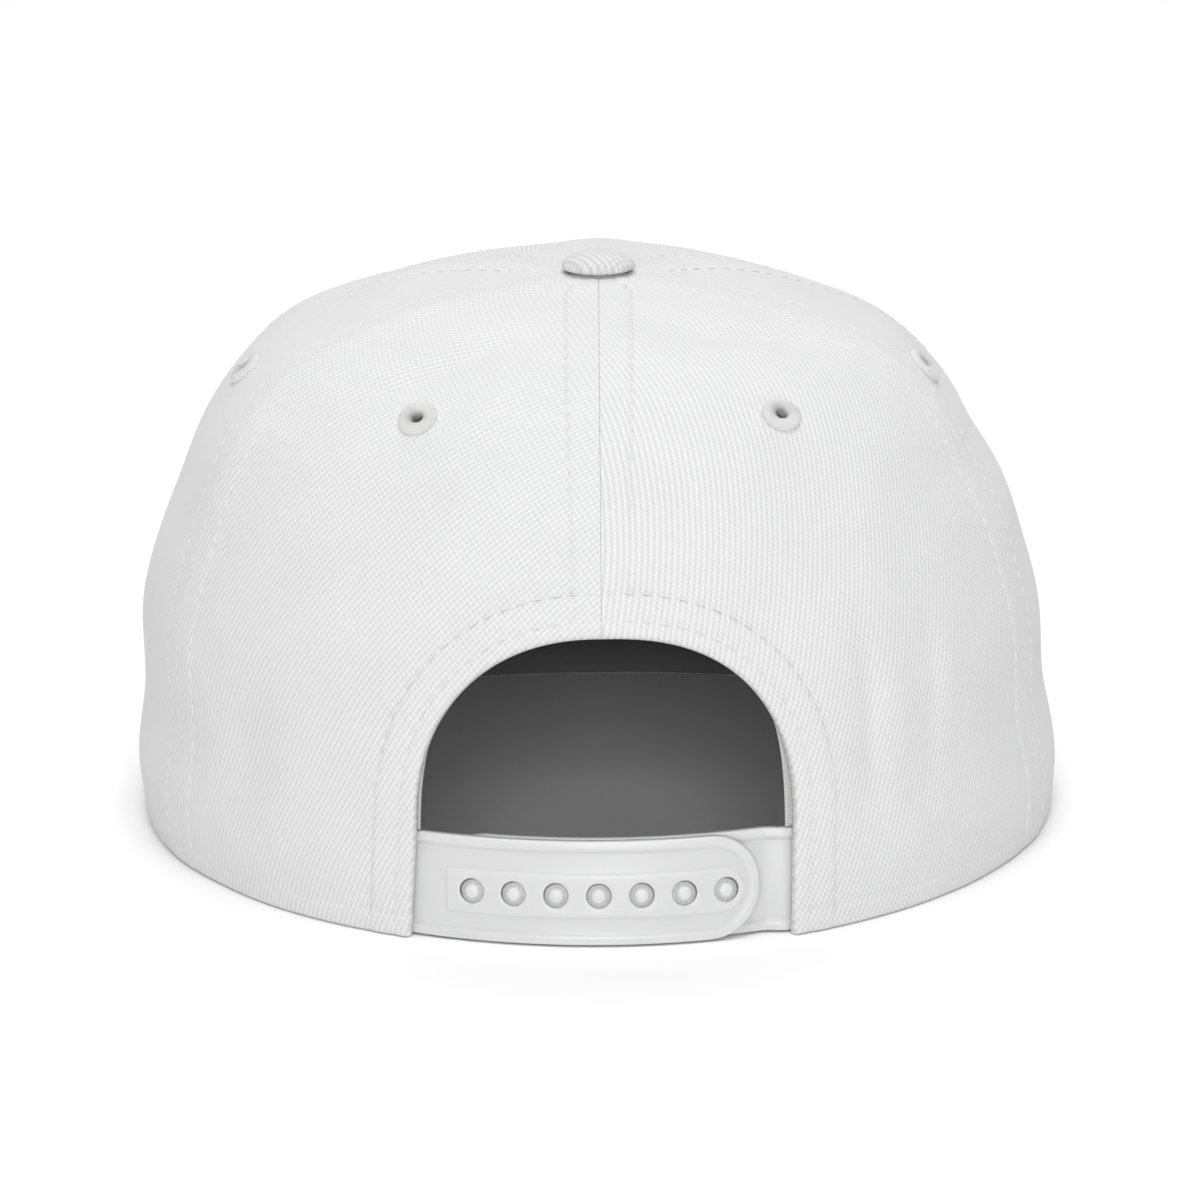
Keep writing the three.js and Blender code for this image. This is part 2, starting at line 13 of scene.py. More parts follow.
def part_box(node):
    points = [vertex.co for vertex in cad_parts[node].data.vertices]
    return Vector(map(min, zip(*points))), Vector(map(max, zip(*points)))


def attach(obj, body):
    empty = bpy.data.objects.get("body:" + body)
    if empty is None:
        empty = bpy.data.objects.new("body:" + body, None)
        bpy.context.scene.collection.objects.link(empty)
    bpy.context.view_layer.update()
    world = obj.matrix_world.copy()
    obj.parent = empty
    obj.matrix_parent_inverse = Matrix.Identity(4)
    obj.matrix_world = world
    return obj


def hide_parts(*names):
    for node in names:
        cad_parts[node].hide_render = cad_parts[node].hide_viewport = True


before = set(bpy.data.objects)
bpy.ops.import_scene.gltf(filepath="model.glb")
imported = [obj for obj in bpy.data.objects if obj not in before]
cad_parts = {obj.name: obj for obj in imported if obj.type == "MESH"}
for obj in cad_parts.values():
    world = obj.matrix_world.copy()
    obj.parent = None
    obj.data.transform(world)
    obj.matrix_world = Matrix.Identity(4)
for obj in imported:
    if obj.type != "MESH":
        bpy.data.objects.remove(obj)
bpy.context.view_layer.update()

# Crown
CROWN_HEIGHT = 109.4
HALF_WIDTH = 93.3
BACK_REACH = 101.4
FRONT_REACH = 93.5
CLOTH = 1.8
GAP = 0.3
BACKING_GAP = 0.5
BACK_ROUNDNESS = 1.97
FRONT_ROUNDNESS = 2.3
LEAN_AT_RIM = 0.85
LEAN_AT_TOP = 4.65
TOP_HOLE_RADIUS = 6
EYELET_LEVEL = 0.838
DENT_DEPTH = 3.5

# Button and eyelets
BUTTON_RADIUS = 7.35
BUTTON_HEIGHT = 4.2
EYELET_RADIUS = 3.85
EYELET_BORE = 1.3
EYELET_CUT = 1.9
EYELET_RISE = 1
EYELET_RIDGES = 44

# Rear opening and its tape
ARCH_HALF_WIDTH = 36.5
ARCH_SHIFT = -0.4
ARCH_SPRING = 22
ARCH_TOP = 57.9
TAPE_WIDTH = 8
TAPE_THICKNESS = 0.8
TAPE_SPRING = 18

# Snap strap
STRAP_HEIGHT = 19.7
STRAP_LIFT = 0.3
STRAP_THICKNESS = 1.5
STRAP_RIM = 1.8
STRAP_RECESS = 0.35
STRAP_TAB = 9
HOLE_STRAP_END = 30.4
PEG_STRAP_END = 32
HOLE_COUNT = 7
HOLE_PITCH = 8.2
HOLE_RADIUS = 2.35
HOLE_ROW_SHIFT = 0.95
HOLE_ROW_HEIGHT = 9.7
HOLE_BAND_HEIGHT = 7.8
HOLE_BAND_LEFT = 4.9
HOLE_BAND_RIGHT = 3.4
PEG_RADIUS = 1.4
COLLAR_TOP = -0.5

# Sweatband and brim
SWEATBAND_HEIGHT = 32
SWEATBAND_THICKNESS = 1.2
SWEATBAND_LIFT = 0.5
SWEATBAND_SETBACK = 2
BRIM_LENGTH = 69
BRIM_THICKNESS = 3.6
BRIM_SPLAY = 25

# Sewing
STITCH_PITCH = 3.4
STITCH_LENGTH = 2.4
THREAD_RADIUS = 0.18
SEAM_ROW_OFFSET = 5.4
OPENING_ROWS = (3, 7.7)
HEM_HEIGHT = 4
BRIM_ROW_PITCH = 7.2
BRIM_ROW_COUNT = 8
BRIM_ROWS = BRIM_ROW_PITCH * np.arange(1, BRIM_ROW_COUNT + 1)

# Crown sections from the rim upwards: shares of the height and of the side, back and front reaches,
# and how far each section is drawn from an oval towards a hexagon with its corners on the seams
SECTIONS = (
    (0.000, 0.987, 1.000, 0.985, 0.00),
    (0.108, 1.000, 0.985, 1.000, 0.00),
    (0.251, 0.977, 0.956, 0.990, 0.00),
    (0.404, 0.975, 0.913, 0.970, 0.05),
    (0.548, 0.931, 0.854, 0.935, 0.10),
    (0.683, 0.870, 0.767, 0.871, 0.16),
    (0.791, 0.795, 0.660, 0.813, 0.20),
    (0.872, 0.695, 0.544, 0.727, 0.22),
    (0.930, 0.543, 0.418, 0.608, 0.22),
    (0.971, 0.369, 0.277, 0.474, 0.20),
    (0.991, 0.200, 0.150, 0.318, 0.12),
)
RINGS = np.array(
    [
        (row[0] * CROWN_HEIGHT, row[1] * HALF_WIDTH, row[2] * BACK_REACH, row[3] * FRONT_REACH, row[4])
        for row in SECTIONS
    ]
    + [(CROWN_HEIGHT, TOP_HOLE_RADIUS, TOP_HOLE_RADIUS, TOP_HOLE_RADIUS, 0)]
)

# Soft dents and, where the depth is negative, swellings: angle, height as a share of the crown's, depth as
# a share of the deepest one's, spread in degrees, and spread in height
DENTS = (
    (24, 0.83, 0.31, 15, 0.05),
    (338, 0.85, 0.26, 13, 0.045),
    (325, 0.3, 0.26, 3.5, 0.16),
    (316, 0.36, 0.2, 3, 0.14),
    (48, 0.25, 0.23, 5, 0.12),
    (228, 0.9, 1, 28, 0.08),
    (135, 0.9, -0.37, 28, 0.08),
    (275, 0.8, 0.2, 30, 0.05),
    (275, 0.7, 0.36, 30, 0.05),
    (272, 0.58, -0.16, 30, 0.06),
    (88, 0.62, 0.18, 30, 0.07),
    (180, 0.975, -0.56, 14, 0.03),
)

# Creases and, where the depth is negative, soft ridges of the cloth: the angles along them and the heights
# there as shares of the crown's, and depth and spread in millimetres
CREASES = (
    dict(angles=(46, 26, 7), heights=(0.835, 0.942, 0.955), depth=1.5, spread=4),
    dict(angles=(350, 316, 299), heights=(0.968, 0.942, 0.909), depth=1.4, spread=4),
    dict(angles=(324.5, 324), heights=(0.54, 0.18), depth=0.6, spread=2.8),
    dict(angles=(312.5, 314), heights=(0.54, 0.22), depth=0.55, spread=2.8),
    dict(angles=(28, 12), heights=(0.78, 0.93), depth=-1.2, spread=5),
)

# The two sides of the rear opening, towards -X and +X: how square the shoulder is and how far the foot
# flares, how far the tape shows inside the edge and how square the tape's shoulder is
ARCH_SIDES = {
    -1: dict(roundness=2.35, flare=-0.5, tape_lap=2.2, tape_roundness=3),
    1: dict(roundness=2.2, flare=1.4, tape_lap=1.2, tape_roundness=2.6),
}
ARCH_FOOT = ARCH_HALF_WIDTH + max(row["flare"] for row in ARCH_SIDES.values())

# Panels: the angles of the two seams and of the eyelet, and how the twill's ribs lie in the cut cloth:
# their slope in degrees, seen from outside, and the radius on which they bend to the right going up
PANELS = {
    "back_left": dict(start=0, end=64, eyelet=31, slope=60, bend=300),
    "side_left": dict(start=64, end=118, eyelet=84, slope=60, bend=600),
    "front_left": dict(start=118, end=180, eyelet=149, slope=60, bend=600),
    "front_right": dict(start=180, end=242, eyelet=211, slope=60, bend=-600),
    "side_right": dict(start=242, end=290, eyelet=279, slope=60, bend=-600),
    "back_right": dict(start=290, end=360, eyelet=327.9, slope=65, bend=-260),
}
SEAMS = tuple(panel["start"] for panel in PANELS.values()) + (360,)
BEND_START = 25

low_corner, high_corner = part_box("top_button")
ORIGIN = np.array([(low_corner.x + high_corner.x) / 2, (low_corner.y + high_corner.y) / 2, 0])


def metres(points):
    """Points of the crown's frame in millimetres, as metres in the part's frame."""
    return np.asarray(points, float) / 1000 + ORIGIN


def smoothstep(value, low, high):
    share = np.clip((value - low) / (high - low), 0, 1)
    return share * share * (3 - 2 * share)


def bell(distance, spread):
    return np.exp(-((distance / spread) ** 2))


# The crown's surface


def crown_section(t):
    """Height, side, back and front reach, and corner share, at a share t of the way from rim to top."""
    last = len(RINGS) - 1
    place = np.clip(t, 0, 1) * last
    low = np.minimum(np.floor(place).astype(int), last - 1)
    a, b, c, d = (RINGS[np.clip(low + k, 0, last)] for k in (-1, 0, 1, 2))
    u = (place - low)[..., None]
    linear = (c - a) * u
    square = (2 * a - 5 * b + 4 * c - d) * u**2
    cube = (3 * b - a - 3 * c + d) * u**3
    return 0.5 * (2 * b + linear + square + cube)


SHARE_TABLE = np.linspace(0, 1, 4001)
HEIGHT_TABLE = crown_section(SHARE_TABLE)[:, 0]


def share_at(z):
    """The share t at which the crown reaches a height."""
    return np.interp(z, HEIGHT_TABLE, SHARE_TABLE)


def hexagon_reach(angle):
    turned = np.mod(angle, 360)
    panel = np.clip(np.searchsorted(SEAMS, turned, side="right") - 1, 0, len(SEAMS) - 2)
    start = np.take(SEAMS, panel)
    share = (turned - start) / (np.take(SEAMS, panel + 1) - start)
    return cos(pi / 6) / np.cos((share - 0.5) * pi / 3) / 0.955


def dent_depth(angle, z):
    turned = np.mod(angle, 360)
    total = np.zeros(np.broadcast(turned, z).shape)
    for at, height, depth, spread, tall in DENTS:
        total += DENT_DEPTH * depth * bell(turned - at, spread) * bell(z / CROWN_HEIGHT - height, tall)
    return total


def face_point(angle, t):
    """The crown's outer face at angles in degrees and shares t; dents fade out under the button."""
    angle, t = np.broadcast_arrays(np.asarray(angle, float), np.asarray(t, float))
    z, side, back, front, corner = np.moveaxis(crown_section(t), -1, 0)
    sine = np.sin(np.radians(angle))
    cosine = np.cos(np.radians(angle))
    reach = np.where(cosine >= 0, back, front)
    power = np.where(cosine >= 0, BACK_ROUNDNESS, FRONT_ROUNDNESS)
    oval = (np.abs(sine) ** power + np.abs(cosine) ** power) ** (-1 / power)
    clear = np.clip((side - TOP_HOLE_RADIUS) / BUTTON_RADIUS, 0, 1)
    dent = 1 - clear * dent_depth(angle, z) / np.maximum(side, back)
    size = oval * (1 + corner * (hexagon_reach(angle) - 1)) * dent
    lean = LEAN_AT_RIM + (LEAN_AT_TOP - LEAN_AT_RIM) * z / CROWN_HEIGHT
    x = side * sine * size + lean * (side - TOP_HOLE_RADIUS) / HALF_WIDTH * (sine * size) ** 2
    return np.stack([x, reach * cosine * size, z], axis=-1)


def unit(vectors):
    return vectors / np.linalg.norm(vectors, axis=-1, keepdims=True)


def face_normal(angle, t):
    middle = np.clip(t, 0.004, 0.996)
    along = face_point(angle + 1.5, middle) - face_point(angle - 1.5, middle)
    up = face_point(angle, middle + 0.003) - face_point(angle, middle - 0.003)
    return unit(np.cross(up, along))


def under_face(angle, t, depth):
    return face_point(angle, t) - face_normal(angle, t) * np.asarray(depth)[..., None]


def inside_wall(angle, z, depth):
    """Points a depth under the crown's face, measured level, at a height."""
    t = share_at(z)
    outward = face_normal(angle, t) * (1, 1, 0)
    point = face_point(angle, t) - unit(outward) * np.asarray(depth)[..., None]
    point[..., 2] = z
    return point


def angle_at(x, z):
    """The angle at which the crown's rear face has a given x at a height."""
    t = share_at(z)
    angle = np.degrees(np.arcsin(np.clip(x / HALF_WIDTH, -1, 1)))
    for _ in range(20):
        angle = angle + np.degrees((x - face_point(angle, t)[..., 0]) / HALF_WIDTH)
    return angle


def rear_point(x, z, depth):
    """Points of the rear wall at an x and height, a depth under the crown's face."""
    x, z, depth = np.broadcast_arrays(*(np.asarray(v, float) for v in (x, z, depth)))
    aim_x, aim_z = x, z
    for _ in range(6):
        point = under_face(angle_at(aim_x, aim_z), share_at(aim_z), depth)
        aim_x = aim_x + x - point[..., 0]
        aim_z = np.maximum(aim_z + z - point[..., 2], 0)
    return np.stack([x, point[..., 1], z], axis=-1)


def arch_half_width(z, half, spring, top, roundness, flare):
    low = half + flare * (spring - z) / spring
    rise = np.clip((z - spring) / (top - spring), 0, 1)
    high = half * np.maximum(1 - rise**roundness, 0) ** (1 / roundness)
    return np.where(z <= spring, low, high)


# Curves on the crown


def run_along(points):
    """The distance run along a line of points."""
    steps = np.linalg.norm(np.diff(points, axis=0), axis=1)
    return np.concatenate([[0], np.cumsum(steps)])


def interpolate(places, known, rows):
    """Rows of values at places between the known ones."""
    return np.stack([np.interp(places, known, column) for column in np.transpose(rows)], axis=-1)


class Curve:
    """A line of points with the crown's normals, and the distance run along it."""

    def __init__(self, points, normals):
        self.points = points
        self.normals = normals
        self.run = run_along(points)

    @property
    def length(self):
        return self.run[-1]

    def at(self, run):
        """Points and normals at distances along the curve."""
        points = interpolate(run, self.run, self.points)
        return points, unit(interpolate(run, self.run, self.normals))

    def nearest(self, points):
        """How far points lie from the curve, and at what distance along it."""
        tree = KDTree(len(self.points))
        for k, point in enumerate(self.points):
            tree.insert(point, k)
        tree.balance()
        found = [tree.find(point) for point in points.reshape(-1, 3)]
        distance = np.array([hit[2] for hit in found]).reshape(points.shape[:-1])
        run = self.run[[hit[1] for hit in found]].reshape(points.shape[:-1])
        return distance, run


def crown_curve(angle, t):
    return Curve(face_point(angle, t), face_normal(angle, t))


def opening_offset(distance, side):
    """The line a distance outside the rear opening's edge on one side, from the centre seam to its foot."""
    form = ARCH_SIDES[side]
    z = ARCH_TOP * np.sin(np.linspace(pi / 2, 0, 900))
    x = arch_half_width(z, ARCH_HALF_WIDTH, ARCH_SPRING, ARCH_TOP, form["roundness"], form["flare"])
    x[0] = 0
    slope = unit(np.stack([np.gradient(x), np.gradient(z)], axis=-1))
    x = side * ARCH_SHIFT + x - slope[:, 1] * distance
    z = z + slope[:, 0] * distance
    keep = (z >= 0) & (x > 0)
    x = side * np.concatenate([[0], x[keep]])
    z = np.concatenate([z[keep][:1], z[keep]])
    return crown_curve(angle_at(x, z), share_at(z))


def seam_offset(seam, offset, low, high=0.985):
    """A line beside a seam, from a share low to a share high; near the top the lines close up."""
    t = np.linspace(low, high, 700)
    middle = face_point(seam, t)
    radius = np.hypot(middle[:, 0], middle[:, 1])
    near = np.minimum(abs(offset), 0.4 * radius)
    return crown_curve(seam + np.sign(offset) * np.degrees(near / radius), t)


# Meshes


class MeshData:
    """Vertices in the crown's frame, faces, a cloth coordinate per vertex and a material per face."""

    def __init__(self):
        self.vertices = []
        self.faces = []
        self.cloth = []
        self.finish = []
        self.count = 0

    def add(self, vertices, faces, cloth=None, finish=0):
        vertices = np.asarray(vertices, float).reshape(-1, 3)
        cloth = vertices[:, :2] if cloth is None else np.asarray(cloth, float).reshape(-1, 2)
        self.vertices.append(vertices)
        self.cloth.append(cloth)
        self.faces += [tuple(int(k) + self.count for k in face) for face in faces]
        self.finish += list(finish) if np.ndim(finish) else [finish] * len(faces)
        self.count += len(vertices)

    def build(self, name, materials, replaces=()):
        mesh = bpy.data.meshes.new(name)
        mesh.from_pydata(metres(np.concatenate(self.vertices)).tolist(), [], self.faces)
        cloth = np.concatenate(self.cloth)
        layer = mesh.uv_layers.new(name="cloth")
        corners = np.empty(len(mesh.loops), dtype=np.int32)
        mesh.loops.foreach_get("vertex_index", corners)
        layer.data.foreach_set("uv", cloth[corners].ravel())
        mesh.polygons.foreach_set("material_index", self.finish)
        mesh.polygons.foreach_set("use_smooth", [True] * len(mesh.polygons))
        for material in materials:
            mesh.materials.append(material)
        mesh.update()
        piece = bpy.data.objects.new(name, mesh)
        bpy.context.scene.collection.objects.link(piece)
        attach(piece, "root")
        if replaces:
            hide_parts(*replaces)
        return piece


def add_slab(data, outer, inner, cloth, kept=None, inner_finish=0):
    """A closed body between two grids of points, the first one outside, without the cells not kept."""
    columns, rows = outer.shape[:2]
    count = columns * rows
    kept = np.ones((columns - 1, rows - 1), bool) if kept is None else kept
    padded = np.pad(kept, 1)
    faces = []
    finish = []
    for i, j in np.argwhere(kept):
        a, b = i * rows + j, i * rows + j + 1
        c, d = b + rows, a + rows
        faces += [(a, b, c, d), (a + count, d + count, c + count, b + count)]
        finish += [0, inner_finish]
        sides = (
            (padded[i, j + 1], a, b),
            (padded[i + 1, j + 2], b, c),
            (padded[i + 2, j + 1], c, d),
            (padded[i + 1, j], d, a),
        )
        for neighbour, p, q in sides:
            if not neighbour:
                faces.append((q, p, p + count, q + count))
                finish.append(0)
    both = np.concatenate([cloth.reshape(-1, 2)] * 2)
    points = np.concatenate([outer.reshape(-1, 3), inner.reshape(-1, 3)])
    used = np.unique(np.concatenate([np.ravel(face) for face in faces]))
    place = np.full(len(points), -1)
    place[used] = np.arange(len(used))
    data.add(points[used], [tuple(place[list(face)]) for face in faces], both[used], finish)


def add_turned(data, profile, sides, place, ridges=0, ridge_height=0.0):
    """A turned body from radius and height pairs, with optional radial ridges, set by a 4 x 4 matrix."""
    profile = np.asarray(profile, float)
    slope = unit(np.gradient(profile, axis=0) + 1e-9)
    normal = np.stack([slope[:, 1], -slope[:, 0]], axis=-1)
    turn = np.arange(sides) * 2 * pi / sides
    wave = 0.5 + 0.5 * np.cos(turn * ridges) if ridges else np.zeros(sides)
    section = profile[None] + normal[None] * (wave * ridge_height)[:, None, None]
    radius, height = section[..., 0], section[..., 1]
    local = np.stack([radius * np.cos(turn)[:, None], radius * np.sin(turn)[:, None], height], axis=-1)
    world = local @ np.array(place)[:3, :3].T + np.array(place)[:3, 3]
    rows = len(profile)
    faces = []
    for i in range(sides):
        k = (i + 1) % sides
        for j in range(rows - 1):
            faces.append((i * rows + j, k * rows + j, k * rows + j + 1, i * rows + j + 1))
    cloth = np.stack([turn[:, None] * BUTTON_RADIUS + 0 * height, np.cumsum(height, axis=1)], axis=-1)
    data.add(world, faces, cloth)


def seat_matrix(point, normal):
    """A frame standing on a point with its z along the normal."""
    z = Vector(normal).normalized()
    x = Vector((0, 0, 1)).cross(z).normalized()
    y = z.cross(x)
    turn = Matrix((x, y, z)).transposed().to_4x4()
    return Matrix.Translation(Vector(point)) @ turn


# Stitches

STITCH_SIDES = 6
STITCH_RINGS = 7


def add_stitches(data, curve, lift):
    """A row of stitches: short bowed threads whose ends dive into the cloth."""
    number = int(curve.length / STITCH_PITCH)
    middles = (np.arange(number) + 0.5) * curve.length / number
    share = np.linspace(-1, 1, STITCH_RINGS)
    run = middles[:, None] + share[None] * STITCH_LENGTH / 2
    points, normals = curve.at(np.clip(run, 0, curve.length))
    along = unit(np.gradient(points, axis=1))
    across = np.cross(normals, along)
    bow = lift + THREAD_RADIUS * (1 - 2.6 * share**4)
    radius = THREAD_RADIUS * np.sqrt(np.maximum(1 - 0.8 * share**6, 0.05))
    centre = points + normals * bow[None, :, None]
    turn = np.arange(STITCH_SIDES) * 2 * pi / STITCH_SIDES
    ring = (
        across[:, :, None] * np.cos(turn)[None, None, :, None]
        + normals[:, :, None] * np.sin(turn)[None, None, :, None]
    )
    shell = centre[:, :, None] + ring * radius[None, :, None, None]
    faces = []
    for s in range(number):
        base = s * STITCH_RINGS * STITCH_SIDES
        for i in range(STITCH_RINGS - 1):
            for j in range(STITCH_SIDES):
                k = (j + 1) % STITCH_SIDES
                a, b = base + i * STITCH_SIDES + j, base + i * STITCH_SIDES + k
                faces.append((a, b, b + STITCH_SIDES, a + STITCH_SIDES))
        first = [base + j for j in range(STITCH_SIDES)]
        last = [base + (STITCH_RINGS - 1) * STITCH_SIDES + j for j in range(STITCH_SIDES)]
        faces += [tuple(reversed(first)), tuple(last)]
    cloth = np.stack(
        [
            np.broadcast_to(run[:, :, None], shell.shape[:3]),
            np.broadcast_to(turn[None, None] * THREAD_RADIUS, shell.shape[:3]),
        ],
        axis=-1,
    )
    data.add(shell, faces, cloth)


# Materials


def new_material(name):
    """A material with its node tree and shader."""
    material = bpy.data.materials.new(name)
    material.use_nodes = True
    tree = material.node_tree
    return material, tree, tree.nodes["Principled BSDF"]


def feed(tree, node, inputs):
    """Link a node's inputs to sockets or set their values."""
    for key, value in inputs.items():
        if isinstance(value, bpy.types.NodeSocket):
            tree.links.new(value, node.inputs[key])
        else:
            node.inputs[key].default_value = value


def add_node(tree, kind, inputs=None, **settings):
    node = tree.nodes.new(kind)
    for key, value in settings.items():
        setattr(node, key, value)
    feed(tree, node, inputs or {})
    return node


def cloth_place(tree):
    return add_node(tree, "ShaderNodeUVMap", uv_map="cloth").outputs[0]


def object_place(tree):
    return add_node(tree, "ShaderNodeTexCoord").outputs["Object"]


def turned_place(tree, place, degrees):
    inputs = {"Vector": place, "Rotation": (0, 0, radians(degrees))}
    return add_node(tree, "ShaderNodeMapping", inputs).outputs[0]


def maths(tree, operation, a, b):
    return add_node(tree, "ShaderNodeMath", {0: a, 1: b}, operation=operation).outputs[0]


def mixed(tree, a, b, share):
    """Two values mixed, with a share of the second one."""
    return maths(tree, "ADD", maths(tree, "MULTIPLY", a, 1 - share), maths(tree, "MULTIPLY", b, share))


def ramp(tree, share, low, high):
    """A colour between two, each of them a colour or a socket."""
    ends = [end if isinstance(end, bpy.types.NodeSocket) else (*end, 1) for end in (low, high)]
    inputs = {0: share, 6: ends[0], 7: ends[1]}
    return add_node(tree, "ShaderNodeMix", inputs, data_type="RGBA").outputs[2]


def bands(tree, place, pitch, distortion, detail_scale=1.0):
    """Smooth bands across the first coordinate, a pitch apart."""
    inputs = {
        "Vector": place,
        "Scale": 2 * pi / 20 / pitch,
        "Distortion": distortion,
        "Detail": 1.0,
        "Detail Scale": detail_scale,
    }
    node = add_node(tree, "ShaderNodeTexWave", inputs, wave_type="BANDS", bands_direction="X")
    return node.outputs["Fac"]


def speckle(tree, place, scale, detail=2.0, roughness=0.5):
    inputs = {"Vector": place, "Scale": scale, "Detail": detail, "Roughness": roughness}
    return add_node(tree, "ShaderNodeTexNoise", inputs).outputs["Fac"]


def bump(tree, height, depth, strength=1.0):
    """A normal for a relief whose depth is in millimetres."""
    inputs = {"Height": height, "Strength": strength, "Distance": depth / 1000}
    return add_node(tree, "ShaderNodeBump", inputs).outputs[0]


def twill_material(name, low, high, pitch, depth):
    """Twill: diagonal ribs crossed by finer threads, slightly uneven in yarn and colour; the grooves are
    coloured darker as painted shade.
    """
    material, tree, shader = new_material(name)
    place = cloth_place(tree)
    ribs = bands(tree, place, pitch, 0.9, 0.55)
    threads = bands(tree, turned_place(tree, place, 72), pitch * 0.8, 0.7, 0.8)
    weave = mixed(tree, ribs, threads, 0.38)
    uneven = mixed(tree, weave, speckle(tree, place, 1.1, 3.0, 0.6), 0.25)
    groove_shade_and_tone = mixed(tree, uneven, speckle(tree, place, 0.06), 0.2)
    finish = {
        # the low colour fills the weave's grooves as painted shade; the speckle mixed in is the cloth's own
        # uneven colour
        "Base Color": ramp(tree, groove_shade_and_tone, low, high),
        "Normal": bump(tree, uneven, depth),
        "Roughness": 0.92,
        "Sheen Weight": 0.15,
        "Sheen Roughness": 0.5,
    }
    feed(tree, shader, finish)
    return material


def paint_light_at_foot(material, colour, height):
    """Fade a material towards a colour near the floor, over a height in millimetres: on the sweatband a
    paler colour, as painted light from the floor.
    """
    tree = material.node_tree
    base = tree.nodes["Principled BSDF"].inputs["Base Color"]
    level = add_node(tree, "ShaderNodeSeparateXYZ", {0: object_place(tree)}).outputs["Z"]
    share = add_node(tree, "ShaderNodeMapRange", {"Value": level, "From Max": height / 1000}).outputs[0]
    tree.links.new(ramp(tree, share, colour, base.links[0].from_socket), base)


def thread_material(name, colour):
    """Two-ply sewing thread, coloured darker between its plies as painted shade."""
    material, tree, shader = new_material(name)
    plies = bands(tree, turned_place(tree, cloth_place(tree), 35), 0.42, 0.3)
    ply_groove_shade = tuple(0.86 * value for value in colour)
    finish = {
        "Base Color": ramp(tree, plies, ply_groove_shade, colour),
        "Normal": bump(tree, plies, 0.05),
        "Roughness": 0.6,
        "Sheen Weight": 0.2,
    }
    feed(tree, shader, finish)
    return material


def plastic_material(name):
    """Slightly translucent moulded plastic with a faint grain."""
    material, tree, shader = new_material(name)
    place = object_place(tree)
    grain = speckle(tree, place, 900.0)
    cloud = speckle(tree, place, 60.0)
    rough = {"Value": grain, "To Min": 0.26, "To Max": 0.42}
    finish = {
        "Base Color": ramp(tree, cloud, (0.645, 0.647, 0.65), (0.68, 0.68, 0.682)),
        "Normal": bump(tree, grain, 0.02, 0.5),
        "Roughness": add_node(tree, "ShaderNodeMapRange", rough).outputs[0],
        "Subsurface Weight": 0.6,
        "Subsurface Radius": (1, 1, 1),
        "Subsurface Scale": 0.0018,
    }
    feed(tree, shader, finish)
    return material


def floor_material():
    material, tree, shader = new_material("floor_paper")
    grain = speckle(tree, object_place(tree), 40.0, 3.0)
    finish = {
        "Base Color": ramp(tree, grain, (0.93, 0.93, 0.93), (0.95, 0.95, 0.95)),
        "Roughness": 0.9,
        "Specular IOR Level": 0.1,
    }
    feed(tree, shader, finish)
    return material


# in each twill the first colour is painted shade in the grooves, the second the tops of the ribs
TWILL = twill_material("white_twill", (0.545, 0.545, 0.547), (0.815, 0.815, 0.818), 1.08, 0.12)
BUTTON_TWILL = twill_material("button_twill", (0.46, 0.46, 0.462), (0.8, 0.8, 0.803), 1.3, 0.13)
LINING = twill_material("pale_lining", (0.64, 0.64, 0.636), (0.8, 0.8, 0.795), 0.9, 0.03)
# the sweatband's near-black colour is painted shade: it stands in for the shade inside the crown
SWEATBAND = twill_material("sweatband_painted_shade", (0.06, 0.06, 0.062), (0.1, 0.1, 0.103), 0.8, 0.02)
# painted light: the sweatband's lowest 9 mm turn paler towards the floor
paint_light_at_foot(SWEATBAND, (0.2, 0.2, 0.203), 9)
# the tape's grey is painted shade: a pale tape darkened for the shade behind the opening's edge
TAPE = twill_material("tape_painted_shade", (0.42, 0.42, 0.416), (0.62, 0.62, 0.615), 0.5, 0.05)
THREAD = thread_material("white_thread", (0.81, 0.81, 0.805))
PLASTIC = plastic_material("white_plastic")

# Relief of the sewn cloth

EDGE_ROLL = 0.9
SEAM_ROLL = 0.16
ALLOWANCE_LIFT = 0.16
HEM_LIFT = 0.17
ROW_DEPTH = 0.24
ROW_WIDTH = 0.75


def rolled_edge(distance, radius=EDGE_ROLL):
    """How far a folded edge drops near its rim."""
    inside = np.clip(radius - distance, 0, radius)
    return -(radius - np.sqrt(np.maximum(radius**2 - inside**2, 0)))


def row_groove(distance, run, length):
    """The groove that a row of stitches pulls into the cloth, deepest where the thread goes in."""
    number = max(int(length / STITCH_PITCH), 1)
    phase = np.cos(2 * pi * run * number / length)
    return -ROW_DEPTH * bell(distance, ROW_WIDTH) * (0.6 + 0.4 * phase)


def crease_line(crease):
    """A crease as a curve on the crown."""
    share = np.linspace(0, 1, 200)
    known = np.linspace(0, 1, len(crease["angles"]))
    height = np.interp(share, known, crease["heights"]) * CROWN_HEIGHT
    return crown_curve(np.interp(share, known, crease["angles"]), share_at(height))


CREASE_LINES = [(crease_line(crease), crease["depth"], crease["spread"]) for crease in CREASES]


def cloth_waves(points):
    """Broad, shallow unevenness of the cloth, with its creases."""
    flat = points.reshape(-1, 3)
    height = [
        0.32 * noise.noise(Vector(p) / 30) + 0.1 * noise.noise(Vector(p) / 11 + Vector((7, 3, 5)))
        for p in flat
    ]
    waves = np.array(height).reshape(points.shape[:-1])
    for line, depth, spread in CREASE_LINES:
        distance, run = line.nearest(points)
        waves -= depth * np.sin(pi * run / line.length) * bell(distance, spread)
    return waves


def on_cloth(line):
    """A line of the crown's smooth face, raised with the cloth's waves."""
    return Curve(line.points + line.normals * cloth_waves(line.points)[:, None], line.normals)


OPENING_EDGES = {side: opening_offset(0, side) for side in (1, -1)}
OPENING_LINES = {(side, row): opening_offset(row, side) for side in (1, -1) for row in OPENING_ROWS}
FOOT_OF = {name: BRIM_THICKNESS + GAP if name.startswith("front") else 0.0 for name in PANELS}


